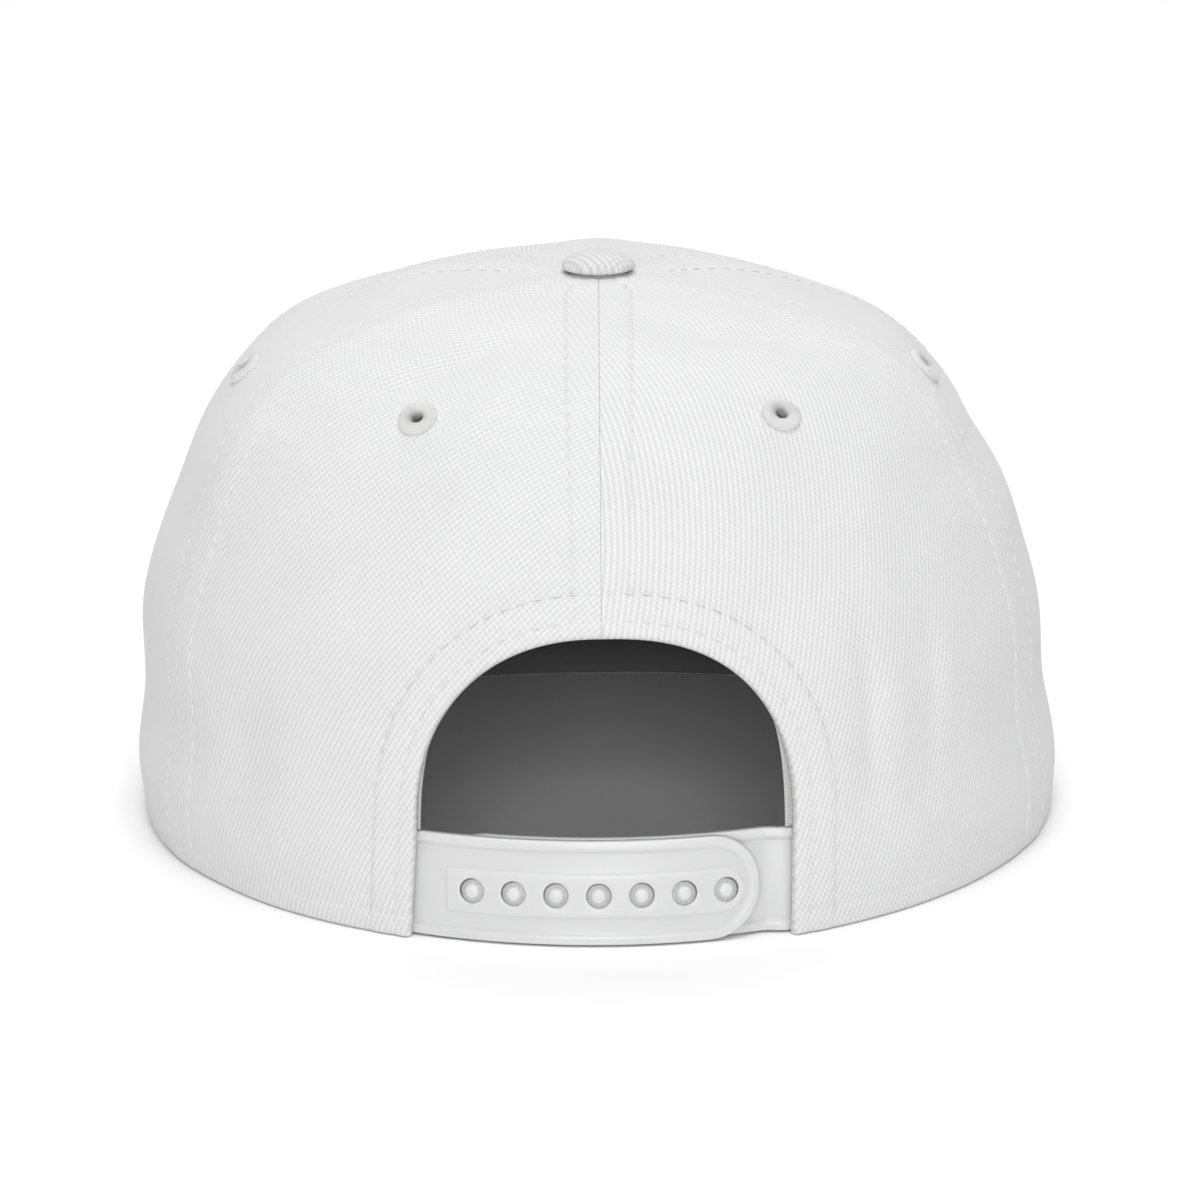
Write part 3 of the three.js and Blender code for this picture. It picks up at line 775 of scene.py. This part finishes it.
def seam_foot(seam):
    """The share at which a seam's lines start: over the opening, over the brim or at the rim."""
    if seam in (0, 360):
        return share_at(ARCH_TOP)
    return share_at(BRIM_THICKNESS + GAP if seam == 180 else 0)


SEAM_LINES = {
    (seam, side): seam_offset(seam, side * SEAM_ROW_OFFSET, seam_foot(seam) + 0.004)
    for seam in SEAMS[:-1]
    for side in (1, -1)
}


def panel_relief(name, points, foot):
    """How far the sewn cloth stands off the crown's smooth face."""
    panel = PANELS[name]
    height = points[..., 2] - foot
    relief = cloth_waves(points)
    for seam, side in ((panel["start"], 1), (panel["end"] % 360, -1)):
        seam_line = crown_curve(seam, np.linspace(0, 1, 1500))
        distance, _ = seam_line.nearest(points)
        relief += rolled_edge(distance, SEAM_ROLL)
        relief += ALLOWANCE_LIFT * (1 - smoothstep(distance, SEAM_ROW_OFFSET - 0.2, SEAM_ROW_OFFSET + 1.4))
        line = SEAM_LINES[seam, side]
        relief += row_groove(*line.nearest(points), line.length)
    relief += rolled_edge(height)
    relief += HEM_LIFT * (1 - smoothstep(height, HEM_HEIGHT - 0.5, HEM_HEIGHT + 0.4))
    relief -= 0.12 * bell(height - HEM_HEIGHT - 0.3, 0.6)
    if name.startswith("back"):
        side = 1 if name.endswith("left") else -1
        distance, _ = OPENING_EDGES[side].nearest(points)
        relief += rolled_edge(distance)
        hem = 1 - smoothstep(distance, OPENING_ROWS[1] + 0.1, OPENING_ROWS[1] + 1.2)
        relief += HEM_LIFT * hem
        for row in OPENING_ROWS:
            line = OPENING_LINES[side, row]
            relief += row_groove(*line.nearest(points), line.length)
    return relief


# Panels

SEAM_STEPS = (0, 0.1, 0.25, 0.45, 0.75, 1.2, 1.8, 2.6, 3.4, 4.1, 4.6, 5.0, 5.4, 5.8, 6.3, 7.0, 8.0)
RIM_STEPS = (0, 0.12, 0.3, 0.55, 0.9, 1.4, 2.0, 2.7, 3.3, 3.7, 4.0, 4.3, 4.8, 5.6)
OPENING_STEPS = (
    0, 0.1, 0.25, 0.45, 0.75, 1.2, 1.8, 2.3, 2.7, 3,
    3.3, 3.8, 4.6, 5.6, 6.5, 7.2, 7.7, 8.2, 8.9, 10,
)
COARSE_STEP = 1.15
PANEL_TRIM = 0.02


def steps_between(low_steps, length, high_steps, coarse):
    """Places along a length: fine steps at both ends and even ones between, scaled where it is short."""
    low = np.array(low_steps, float)
    high = np.array(high_steps, float)
    scale = min(1, 0.9 * length / (low[-1] + high[-1]))
    low, high = low * scale, length - high[::-1] * scale
    number = max(int(round((high[0] - low[-1]) / coarse)), 2)
    return np.concatenate([low, np.linspace(low[-1], high[0], number + 1)[1:-1], high])


def resample(places, length, new_length, low_count, high_count):
    """The same places on another length: the end steps keep their size as far as they fit."""
    low, middle, high = places[:low_count], places[low_count:-high_count], places[-high_count:]
    scale = min(1, 0.9 * new_length / (low[-1] + length - high[0]))
    new_low = low * scale
    new_high = new_length - (length - high) * scale
    share = (middle - low[-1]) / (high[0] - low[-1])
    new_middle = new_low[-1] + share * (new_high[0] - new_low[-1])
    return np.concatenate([new_low, new_middle, new_high])


def mean_radius(angle, t):
    point = face_point(angle, t)
    return np.hypot(point[..., 0], point[..., 1])


def profile_run(angle, shares):
    """Distance up the crown's face along one angle."""
    return run_along(face_point(angle, shares))


def plain_panel_grid(panel, foot):
    """Angles and shares of a panel with four plain sides."""
    middle = (panel["start"] + panel["end"]) / 2
    shares = np.linspace(share_at(foot), 1, 1500)
    run = profile_run(middle, shares)
    rows = steps_between(RIM_STEPS, run[-1], (0, 1.2), COARSE_STEP)
    t = np.interp(rows, run, shares)
    widths = radians(panel["end"] - panel["start"]) * mean_radius(middle, t) - 2 * PANEL_TRIM
    widest = widths.max()
    columns = steps_between(SEAM_STEPS, widest, SEAM_STEPS, COARSE_STEP)
    count = len(SEAM_STEPS)
    places = np.stack([resample(columns, widest, width, count, count) for width in widths], axis=1)
    share = (places + PANEL_TRIM) / (widths + 2 * PANEL_TRIM)
    angle = panel["start"] + (panel["end"] - panel["start"]) * share
    return angle, np.broadcast_to(t, angle.shape)


def back_panel_grid(panel):
    """Angles and shares of a back panel: columns run from the opening's edge to the side seam."""
    side = 1 if panel["start"] == 0 else -1
    span = panel["end"] - panel["start"]
    shares = np.linspace(0, 1, 3000)
    radius = mean_radius(side * span / 2, shares)
    rise = profile_run(side * span / 2, shares)

    def flat(angle, t):
        across = np.radians(angle) * np.interp(t, shares, radius)
        return np.stack(np.broadcast_arrays(across, np.interp(t, shares, rise)), axis=-1)

    edge = OPENING_EDGES[side].points
    edge = flat(np.abs(angle_at(edge[:, 0], edge[:, 2])), share_at(edge[:, 2]))
    top = flat(np.linspace(0, span, 60), 1.0)
    outer = np.concatenate([top, flat(span, shares[::-1])[1:]])

    edge_length = run_along(edge)[-1]
    outer_length = run_along(outer)[-1]
    outer_places = steps_between(SEAM_STEPS, outer_length, RIM_STEPS, COARSE_STEP)
    top_scale = 0.95 * run_along(top)[-1] / SEAM_STEPS[-1]
    edge_places = resample(outer_places, outer_length, edge_length, len(SEAM_STEPS), len(RIM_STEPS))
    squeezed = outer_places.copy()
    squeezed[: len(SEAM_STEPS)] *= min(top_scale, 1)
    start = interpolate(edge_places, run_along(edge), edge)
    finish = interpolate(squeezed, run_along(outer), outer)
    lengths = np.linalg.norm(finish - start, axis=1)
    longest = lengths.max()
    rows = steps_between(OPENING_STEPS, longest, SEAM_STEPS, COARSE_STEP)
    grid = []
    for a, b, length in zip(start, finish, lengths):
        places = resample(rows, longest, length, len(OPENING_STEPS), len(SEAM_STEPS))
        grid.append(a + (b - a) * (places / length)[:, None])
    grid = np.array(grid)
    t = np.interp(grid[..., 1], rise, shares)
    angle = np.degrees(grid[..., 0] / np.interp(t, shares, radius))
    trim = np.degrees(PANEL_TRIM / np.interp(t, shares, radius))
    angle = trim + angle * (span - 2 * trim) / span
    return side * angle, t


def cloth_coordinates(panel, angle, t):
    """Where points lie in the flat cut cloth, turned so that the twill's ribs run along the second axis."""
    middle = (panel["start"] + panel["end"]) / 2
    turned = np.mod(angle, 360)
    turned = np.where(turned - middle > 180, turned - 360, turned)
    turned = np.where(middle - turned > 180, turned + 360, turned)
    shares = np.linspace(0, 1, 1500)
    across = np.radians(turned - middle) * np.interp(t, shares, mean_radius(middle, shares))
    up = np.interp(t, shares, profile_run(middle, shares))
    slope = radians(panel["slope"])
    along = (up - BEND_START) * sin(slope) - across * cos(slope)
    over = across * sin(slope) + up * cos(slope) + along**2 / (2 * panel["bend"])
    return np.stack([over, along], axis=-1)


def eyelet_seat(panel):
    share = share_at(EYELET_LEVEL * CROWN_HEIGHT)
    return face_point(panel["eyelet"], share), face_normal(panel["eyelet"], share)


def build_panel(name):
    panel = PANELS[name]
    foot = FOOT_OF[name]
    is_back = name.startswith("back")
    angle, t = back_panel_grid(panel) if is_back else plain_panel_grid(panel, foot)
    smooth = face_point(angle, t)
    normals = face_normal(angle, t)
    relief = panel_relief(name, smooth, foot)
    outer = smooth + normals * relief[..., None]
    inner_depth = CLOTH + np.minimum(relief, 0) * 0.4
    inner_depth = np.maximum(inner_depth, -relief + 0.15)
    inner = smooth - normals * inner_depth[..., None]
    for face in (outer, inner):
        face[..., 2] = np.maximum(face[..., 2], foot + PANEL_TRIM)
    middle, _ = eyelet_seat(panel)
    cell = (smooth[1:, 1:] + smooth[:-1, :-1] + smooth[1:, :-1] + smooth[:-1, 1:]) / 4
    kept = np.linalg.norm(cell - middle, axis=-1) > EYELET_CUT
    data = MeshData()
    cloth = cloth_coordinates(panel, angle, t)
    if is_back and name.endswith("right"):
        outer, inner, cloth, kept = outer[::-1], inner[::-1], cloth[::-1], kept[::-1]
    add_slab(data, outer, inner, cloth, kept, inner_finish=1)
    data.build(f"cloth_{name}", [TWILL, LINING], [f"panel_{name}"])


def build_eyelet(name):
    """An embroidered eyelet: a ring of radial thread ridges round a small bore."""
    middle = (EYELET_BORE + EYELET_RADIUS) / 2
    half = (EYELET_RADIUS - EYELET_BORE) / 2
    turns = np.linspace(0, 1, 15)
    profile = [(EYELET_BORE + 0.5, -CLOTH), (EYELET_BORE, -0.5)]
    profile += [(middle - half * cos(pi * k), 0.1 + EYELET_RISE * sin(pi * k) ** 0.8) for k in turns]
    profile += [(EYELET_RADIUS - 0.3, -0.5), (EYELET_BORE + 0.7, -CLOTH), (EYELET_BORE + 0.5, -CLOTH)]
    data = MeshData()
    point, normal = eyelet_seat(PANELS[name])
    add_turned(data, profile[::-1], 4 * EYELET_RIDGES, seat_matrix(point, normal), EYELET_RIDGES, 0.16)
    data.build(f"thread_eyelet_{name}", [THREAD], [f"eyelet_{name}"])


def build_button():
    """The covered button: a cloth dome with a tucked lower edge."""
    seat = CROWN_HEIGHT + 0.15
    dome = []
    for turn in np.linspace(-50, 90, 30):
        radius = BUTTON_RADIUS * np.sign(np.cos(radians(turn))) * np.abs(cos(radians(turn))) ** 0.9
        low = turn < 0
        height = 1.15 + (1.0 if low else BUTTON_HEIGHT - 1.0) * sin(radians(turn))
        dome.append((max(radius, 0.01), seat + height))
    shank = TOP_HOLE_RADIUS - GAP
    profile = [(0.01, CROWN_HEIGHT - CLOTH), (shank, CROWN_HEIGHT - CLOTH), (shank, seat + 0.1)] + dome
    profile[-1] = (0.01, profile[-1][1])
    data = MeshData()
    add_turned(data, profile, 120, Matrix.Identity(4))
    points = data.vertices[0]
    data.cloth[0] = points[:, :2] @ np.array([[cos(0.6), -sin(0.6)], [sin(0.6), cos(0.6)]])
    data.build("cloth_button", [BUTTON_TWILL], ["top_button"])


# Tape, sweatband and brim


def build_tape():
    """The ribbed tape behind the opening's edge."""
    foot = STRAP_LIFT + STRAP_HEIGHT + GAP

    def outline(grow):
        top = ARCH_TOP + GAP + grow
        z = foot + (top - foot) * np.sin(np.linspace(0, pi / 2, 110))
        halves = []
        for side, form in ARCH_SIDES.items():
            half = ARCH_HALF_WIDTH - form["tape_lap"] + grow
            x = ARCH_SHIFT + side * arch_half_width(z, half, TAPE_SPRING, top, form["tape_roundness"], 0)
            halves.append(np.stack([x, z], axis=-1))
        return np.concatenate([halves[0][:-1], halves[1][::-1]])

    inner, outer = outline(0), outline(TAPE_WIDTH)
    share = np.linspace(0, 1, 15)[None, :, None]
    flat = inner[:, None] + (outer - inner)[:, None] * share
    run = run_along(inner)
    rib = 0.1 * np.cos(run * 2 * pi / 1.1)[:, None] * np.ones(15)
    face = CLOTH + BACKING_GAP
    front = rear_point(flat[..., 0], flat[..., 1], face - rib)
    back = rear_point(flat[..., 0], flat[..., 1], face + TAPE_THICKNESS)
    across = share[..., 0] * TAPE_WIDTH * np.ones((len(run), 1))
    cloth = np.stack([run[:, None] * np.ones(15), across], axis=-1)
    data = MeshData()
    add_slab(data, front, back, cloth)
    data.build("ribbed_tape", [TAPE], ["back_opening_tape"])


def build_sweatband():
    leg = ARCH_FOOT + SWEATBAND_SETBACK
    left = angle_at(leg, STRAP_HEIGHT / 2)
    right = 360 + angle_at(-leg, STRAP_HEIGHT / 2)
    face = CLOTH + BACKING_GAP
    inner = face + STRAP_THICKNESS + BACKING_GAP
    angle = np.linspace(left, right, 220)
    from_end = np.radians(np.minimum(angle - left, right - angle)) * HALF_WIDTH
    depth = inner - (inner - face) * smoothstep(from_end, STRAP_TAB, STRAP_TAB * 2)
    rise = [0, 0.2, 0.6, 1.2, *np.linspace(2, 30, 15), 30.8, 31.4, 31.8, SWEATBAND_HEIGHT]
    z = SWEATBAND_LIFT + np.array(rise)
    edge = np.minimum(z - z[0], z[-1] - z)
    roll = rolled_edge(edge, 0.55)
    outer_face = inside_wall(angle[:, None], z[None], depth[:, None] - roll[None])
    inner_face = inside_wall(angle[:, None], z[None], depth[:, None] + SWEATBAND_THICKNESS + roll[None])
    run = np.radians(angle)[:, None] * HALF_WIDTH * np.ones(len(z))
    cloth = np.stack([run * 0.8 + z * 0.6, z * 0.8 - run * 0.6], axis=-1)
    data = MeshData()
    add_slab(data, outer_face, inner_face, cloth)
    data.build("sweatband_cloth", [SWEATBAND], ["sweatband"])


def brim_reach(share):
    return np.maximum(1 - np.abs(share) ** 2.6, 0) ** 0.526


def brim_flat(share, across):
    """A point of the brim's plan: a share of its width and a share of the way out from the crown."""
    trim = np.degrees(GAP / HALF_WIDTH)
    half_span = PANELS["front_right"]["end"] - 180
    angle = 180 + share * (half_span - trim)
    inner = inside_wall(angle, np.zeros_like(angle), np.full_like(angle, CLOTH))
    outer = inside_wall(angle, np.zeros_like(angle), np.zeros_like(angle))
    splay = -share * radians(BRIM_SPLAY)
    length = BRIM_LENGTH * brim_reach(share)
    reach = np.stack([np.sin(splay), -np.cos(splay), 0 * splay], axis=-1)
    outer = outer + reach * length[..., None]
    return inner + (outer - inner) * across[..., None], np.linalg.norm(outer - inner, axis=-1)


def build_brim():
    """The flat brim: cloth over a board, with rows of stitching beside its edge."""
    share = np.sin(np.radians(np.linspace(-90, 90, 150)))
    across = np.concatenate([np.linspace(0, 0.86, 60), np.linspace(0.86, 1, 40)[1:]])
    s, a = np.meshgrid(share, across, indexing="ij")
    flat, length = brim_flat(s, a)
    from_edge = length * (1 - a)
    half = BRIM_THICKNESS / 2
    roll = rolled_edge(np.maximum(from_edge, 0), 1.6)
    rows = sum(bell(from_edge - place, ROW_WIDTH) for place in BRIM_ROWS)
    data = MeshData()
    grids = []
    for sign in (-1, 1):
        face = np.minimum(half + roll - 0.18 * rows, half)
        grid = flat.copy()
        grid[..., 2] = half + sign * np.maximum(face, 0.1)
        grids.append(grid)
    cloth = flat[..., :2] @ np.array([[cos(0.5), -sin(0.5)], [sin(0.5), cos(0.5)]])
    add_slab(data, grids[0], grids[1], cloth)
    data.build("brim_cloth", [TWILL], ["brim"])


def brim_row_curve(distance):
    """The line a distance inside the brim's edge, on its upper face."""
    share = np.sin(np.radians(np.linspace(-89, 89, 500)))
    _, length = brim_flat(share, np.ones_like(share))
    keep = length > distance + 4
    across = 1 - distance / length[keep]
    points, _ = brim_flat(share[keep], across)
    points[:, 2] = BRIM_THICKNESS
    return Curve(points, np.tile((0.0, 0.0, 1.0), (len(points), 1)))


# Snap strap


def strap_x(along):
    bend = HALF_WIDTH**2 / BACK_REACH
    return bend * np.sin(along / bend)


STRAP_MIDDLE = STRAP_LIFT + STRAP_HEIGHT / 2
STRAP_FACE = CLOTH + BACKING_GAP
PEG_FACE = STRAP_FACE + STRAP_THICKNESS + GAP
SEWN_END = ARCH_FOOT + STRAP_TAB
HOLE_PLACES = HOLE_ROW_SHIFT + HOLE_PITCH * (np.arange(HOLE_COUNT) - (HOLE_COUNT - 1) / 2)
BAND_START = HOLE_PLACES[0] - HOLE_BAND_RIGHT
BAND_END = HOLE_PLACES[-1] + HOLE_BAND_LEFT
STRAP_INSETS = (0, 0.1, 0.25, 0.42, 1.2, 1.55, 1.8, 2.05, 2.6)
BAND_INSETS = (-0.45, -0.25, -0.05, 0.15, 0.6)
STRAP_STEP = 1.1


def hole_strap_depth(along):
    return np.full_like(along, STRAP_FACE)


def peg_strap_depth(along):
    start = HOLE_STRAP_END + GAP
    end = ARCH_HALF_WIDTH - GAP
    return PEG_FACE - (PEG_FACE - STRAP_FACE) * smoothstep(-along, start, end)


class Tongue:
    """A flat form, round at its free end and square at the other, from a middle height and a full height."""

    def __init__(self, free_end, end, middle, height, arc_count, cap_count, side_count=None):
        self.free_end = free_end
        self.end = end
        self.middle = middle
        self.radius = height / 2
        self.toward = np.sign(end - free_end)
        self.arc_count = arc_count
        self.cap_count = cap_count
        self.side_count = side_count

    def inset(self, s, z):
        """How far inside the outline points lie."""
        run = (s - self.free_end) * self.toward
        rise = z - self.middle
        length = (self.end - self.free_end) * self.toward
        straight = np.minimum(self.radius - np.abs(rise), length - run)
        rounded = self.radius - np.hypot(run - self.radius, rise)
        return np.where(run < self.radius, np.minimum(rounded, straight), straight)

    def loop(self, inset):
        """The closed line a distance inside the outline."""
        radius = self.radius - inset
        centre = self.free_end + self.toward * self.radius
        end = self.end - self.toward * inset
        turn = np.linspace(pi / 2, 3 * pi / 2, self.arc_count)
        side_count = self.side_count or int(abs(end - centre) / STRAP_STEP)
        side = np.linspace(centre, end, side_count + 1)[1:]
        rise = np.linspace(-radius, radius, self.cap_count)[1:-1]
        arc = centre + self.toward * radius * np.cos(turn)
        s = np.concatenate([arc, side, np.full(len(rise), end), side[::-1]])
        low, high = np.full(side_count, -radius), np.full(side_count, radius)
        z = np.concatenate([radius * np.sin(turn), low, rise, high])
        return np.stack([s, self.middle + z], axis=-1)


HOLE_STRAP = Tongue(-HOLE_STRAP_END, SEWN_END, STRAP_MIDDLE, STRAP_HEIGHT, 48, 15)
PEG_STRAP = Tongue(PEG_STRAP_END, -SEWN_END, STRAP_MIDDLE, STRAP_HEIGHT, 48, 15)
BAND = Tongue(BAND_START, BAND_END, HOLE_ROW_HEIGHT, HOLE_BAND_HEIGHT, 28, 7, 51)


def circle_loop(centre, radius, sides=40):
    turn = np.arange(sides) * 2 * pi / sides
    return np.stack([centre[0] + radius * np.cos(turn), centre[1] + radius * np.sin(turn)], axis=-1)


def strap_sink(s, z, strap, banded):
    """How far the strap's moulded face lies behind its rim: fillets, recessed field, band and hole lips."""
    inset = strap.inset(s, z)
    field = smoothstep(inset, STRAP_RIM - 0.25, STRAP_RIM + 0.25)
    sink = -rolled_edge(np.maximum(inset, 0), 0.4)
    if banded:
        field = field * (1 - smoothstep(BAND.inset(s, z), -0.35, 0.1))
        for place in HOLE_PLACES:
            from_hole = np.hypot(s - place, z - HOLE_ROW_HEIGHT) - HOLE_RADIUS
            sink = sink - rolled_edge(np.maximum(from_hole, 0), 0.45)
    return sink + STRAP_RECESS * field


def build_strap(name, strap, depth_at, banded, replaces):
    loops = [strap.loop(inset) for inset in STRAP_INSETS]
    if banded:
        loops += [BAND.loop(inset) for inset in BAND_INSETS]
        for place in HOLE_PLACES:
            loops += [circle_loop((place, HOLE_ROW_HEIGHT), HOLE_RADIUS + d) for d in (0, 0.1, 0.25, 0.48)]
            loops.append(circle_loop((place, HOLE_ROW_HEIGHT), HOLE_RADIUS + 0.9, 28))
    placed = np.concatenate(loops)
    edges = []
    base = 0
    for loop in loops:
        edges += [(base + k, base + (k + 1) % len(loop)) for k in range(len(loop))]
        base += len(loop)
    tree = KDTree(len(placed))
    for k, point in enumerate(placed):
        tree.insert((*point, 0), k)
    tree.balance()
    low, high = sorted((strap.free_end, strap.end))
    filling = [
        (s, z)
        for s in np.arange(low + 0.6, high, STRAP_STEP)
        for z in np.arange(STRAP_LIFT + 0.5, STRAP_LIFT + STRAP_HEIGHT, STRAP_STEP)
        if tree.find((s, z, 0))[2] > 0.55
    ]
    spots = [Vector(point) for point in placed] + [Vector(point) for point in filling]
    corners, _, triangles, *_ = delaunay_2d_cdt(spots, edges, [], 0, 1e-5)
    flat = np.array([tuple(corner) for corner in corners])
    kept = []
    for triangle in triangles:
        middle = flat[list(triangle)].mean(axis=0)
        inside = strap.inset(*middle) > 0
        from_hole = np.hypot(HOLE_PLACES - middle[0], HOLE_ROW_HEIGHT - middle[1]).min() - HOLE_RADIUS
        clear = not banded or from_hole > -0.005 * HOLE_RADIUS
        if inside and clear:
            kept.append(tuple(triangle))
    s, z = flat[:, 0], flat[:, 1]
    depth = depth_at(s)
    front = rear_point(strap_x(s), z, depth + strap_sink(s, z, strap, banded))
    back = rear_point(strap_x(s), z, depth + STRAP_THICKNESS)
    data = MeshData()
    add_plate(data, front, back, kept, flat)
    if not banded:
        add_pegs(data)
    data.build(name, [PLASTIC], replaces)


def add_plate(data, front, back, triangles, flat):
    """A closed plate between two copies of a flat net of triangles."""
    count = len(front)
    a, b, c = (front[k] for k in triangles[0])
    if np.cross(b - a, c - a)[1] < 0:
        triangles = [triangle[::-1] for triangle in triangles]
    directed = {(t[k], t[(k + 1) % 3]) for t in triangles for k in range(3)}
    faces = [tuple(t) for t in triangles] + [tuple(k + count for k in t[::-1]) for t in triangles]
    for p, q in directed:
        if (q, p) not in directed:
            faces.append((q, p, p + count, q + count))
    data.add(np.concatenate([front, back]), sorted(faces), np.concatenate([flat, flat]))


def add_pegs(data):
    """Domed pegs on the inner strap, one in each hole, each on a low collar that all but fills it."""
    root = -(PEG_FACE - STRAP_FACE) - 0.4
    collar = HOLE_RADIUS - 0.12
    top = 0.15
    for along in HOLE_PLACES:
        x = strap_x(along)
        normal = face_normal(angle_at(x, HOLE_ROW_HEIGHT), share_at(HOLE_ROW_HEIGHT))
        point = rear_point(x, HOLE_ROW_HEIGHT, STRAP_FACE)
        profile = [(0.01, root), (collar, root), (collar, COLLAR_TOP), (PEG_RADIUS, COLLAR_TOP + 0.1)]
        profile.append((PEG_RADIUS, top - 0.5))
        profile += [
            (PEG_RADIUS * cos(turn) + 0.01, top - 0.5 + 0.75 * sin(turn))
            for turn in np.linspace(0.15, pi / 2, 9)
        ]
        add_turned(data, profile, 32, seat_matrix(point, normal))


# The pieces

for panel_name in PANELS:
    build_panel(panel_name)
    build_eyelet(panel_name)
build_button()
build_tape()
build_sweatband()
build_brim()
build_strap("plastic_strap_holes", HOLE_STRAP, hole_strap_depth, True, ["snap_strap_holes"])
build_strap("plastic_strap_pegs", PEG_STRAP, peg_strap_depth, False, ["snap_strap_pegs"])


# How far the rows of stitches are raised or, where negative, sunk
STITCH_LIFTS = {"centre": 0.0, "seam": -0.12, "opening": 0.04, "brim": -0.2}


def build_stitching():
    seams = [
        (on_cloth(line), STITCH_LIFTS["centre" if seam == 0 else "seam"])
        for (seam, _), line in SEAM_LINES.items()
    ]
    opening = [(on_cloth(line), STITCH_LIFTS["opening"]) for line in OPENING_LINES.values()]
    brim = [(brim_row_curve(place), STITCH_LIFTS["brim"]) for place in BRIM_ROWS]
    for place, rows in (("seam", seams), ("opening", opening), ("brim", brim)):
        data = MeshData()
        for line, lift in rows:
            add_stitches(data, line, lift)
        data.build(f"{place}_stitches", [THREAD])


build_stitching()

# Floor, light and camera


def build_floor():
    size = 6
    mesh = bpy.data.meshes.new("floor")
    corners = [(-size, -size, 0), (size, -size, 0), (size, size, 0), (-size, size, 0)]
    mesh.from_pydata(corners, [], [(0, 1, 2, 3)])
    mesh.materials.append(floor_material())
    floor = bpy.data.objects.new("floor", mesh)
    floor.location.z = -0.0001
    bpy.context.scene.collection.objects.link(floor)


# Soft boxes: azimuth, elevation, size in metres and power in watts
SOFT_BOXES = {
    "top": (180, 80, 1.6, 31),
    "rear": (180, 18, 1.1, 24),
    "left": (95, 35, 1.4, 5),
    "right": (265, 35, 1.4, 5),
    "front": (0, 50, 1.4, 18.5),
}
SOFT_BOX_DISTANCE = 2.4
WORLD_STRENGTH = 0.26

CAMERA_TARGET = (0.25, 0, 41.3)
CAMERA_ELEVATION = radians(15.33)
CAMERA_ROLL = radians(0.5)
CAMERA_DISTANCE = 1.3
CAMERA_LENS = 191.86


def soft_box(name, azimuth, elevation, size, power):
    """A square soft box aimed at the cap."""
    light = bpy.data.lights.new(f"soft_box_{name}", "AREA")
    light.shape = "SQUARE"
    light.size = size
    light.energy = power
    lamp = bpy.data.objects.new(f"soft_box_{name}", light)
    a, e = radians(azimuth), radians(elevation)
    back = Vector((sin(a) * cos(e), -cos(a) * cos(e), sin(e)))
    lamp.location = back * SOFT_BOX_DISTANCE
    lamp.rotation_euler = back.to_track_quat("Z", "Y").to_euler()
    lamp.visible_camera = False
    bpy.context.scene.collection.objects.link(lamp)


def build_light():
    world = bpy.data.worlds.new("studio")
    bpy.context.scene.world = world
    world.use_nodes = True
    background = world.node_tree.nodes["Background"]
    background.inputs["Color"].default_value = (1, 1, 1, 1)
    background.inputs["Strength"].default_value = WORLD_STRENGTH
    for name, (azimuth, elevation, size, power) in SOFT_BOXES.items():
        soft_box(name, azimuth, elevation, size, power)
    bpy.context.scene.view_settings.view_transform = "Standard"


def build_camera():
    """The photograph's view: from behind, a little above, with a slight roll."""
    target = metres(CAMERA_TARGET)
    back = Vector((0, cos(CAMERA_ELEVATION), sin(CAMERA_ELEVATION)))
    up = Vector((0, -sin(CAMERA_ELEVATION), cos(CAMERA_ELEVATION)))
    right = up.cross(back)
    x_axis = right * cos(CAMERA_ROLL) - up * sin(CAMERA_ROLL)
    y_axis = right * sin(CAMERA_ROLL) + up * cos(CAMERA_ROLL)
    camera = bpy.data.cameras.new("camera")
    camera.sensor_width = 36
    camera.lens = CAMERA_LENS
    camera.clip_end = 50
    eye = bpy.data.objects.new("camera", camera)
    turn = Matrix((x_axis, y_axis, back)).transposed().to_4x4()
    eye.matrix_world = Matrix.Translation(Vector(target) + back * CAMERA_DISTANCE) @ turn
    bpy.context.scene.collection.objects.link(eye)
    bpy.context.scene.camera = eye


build_floor()
build_light()
build_camera()
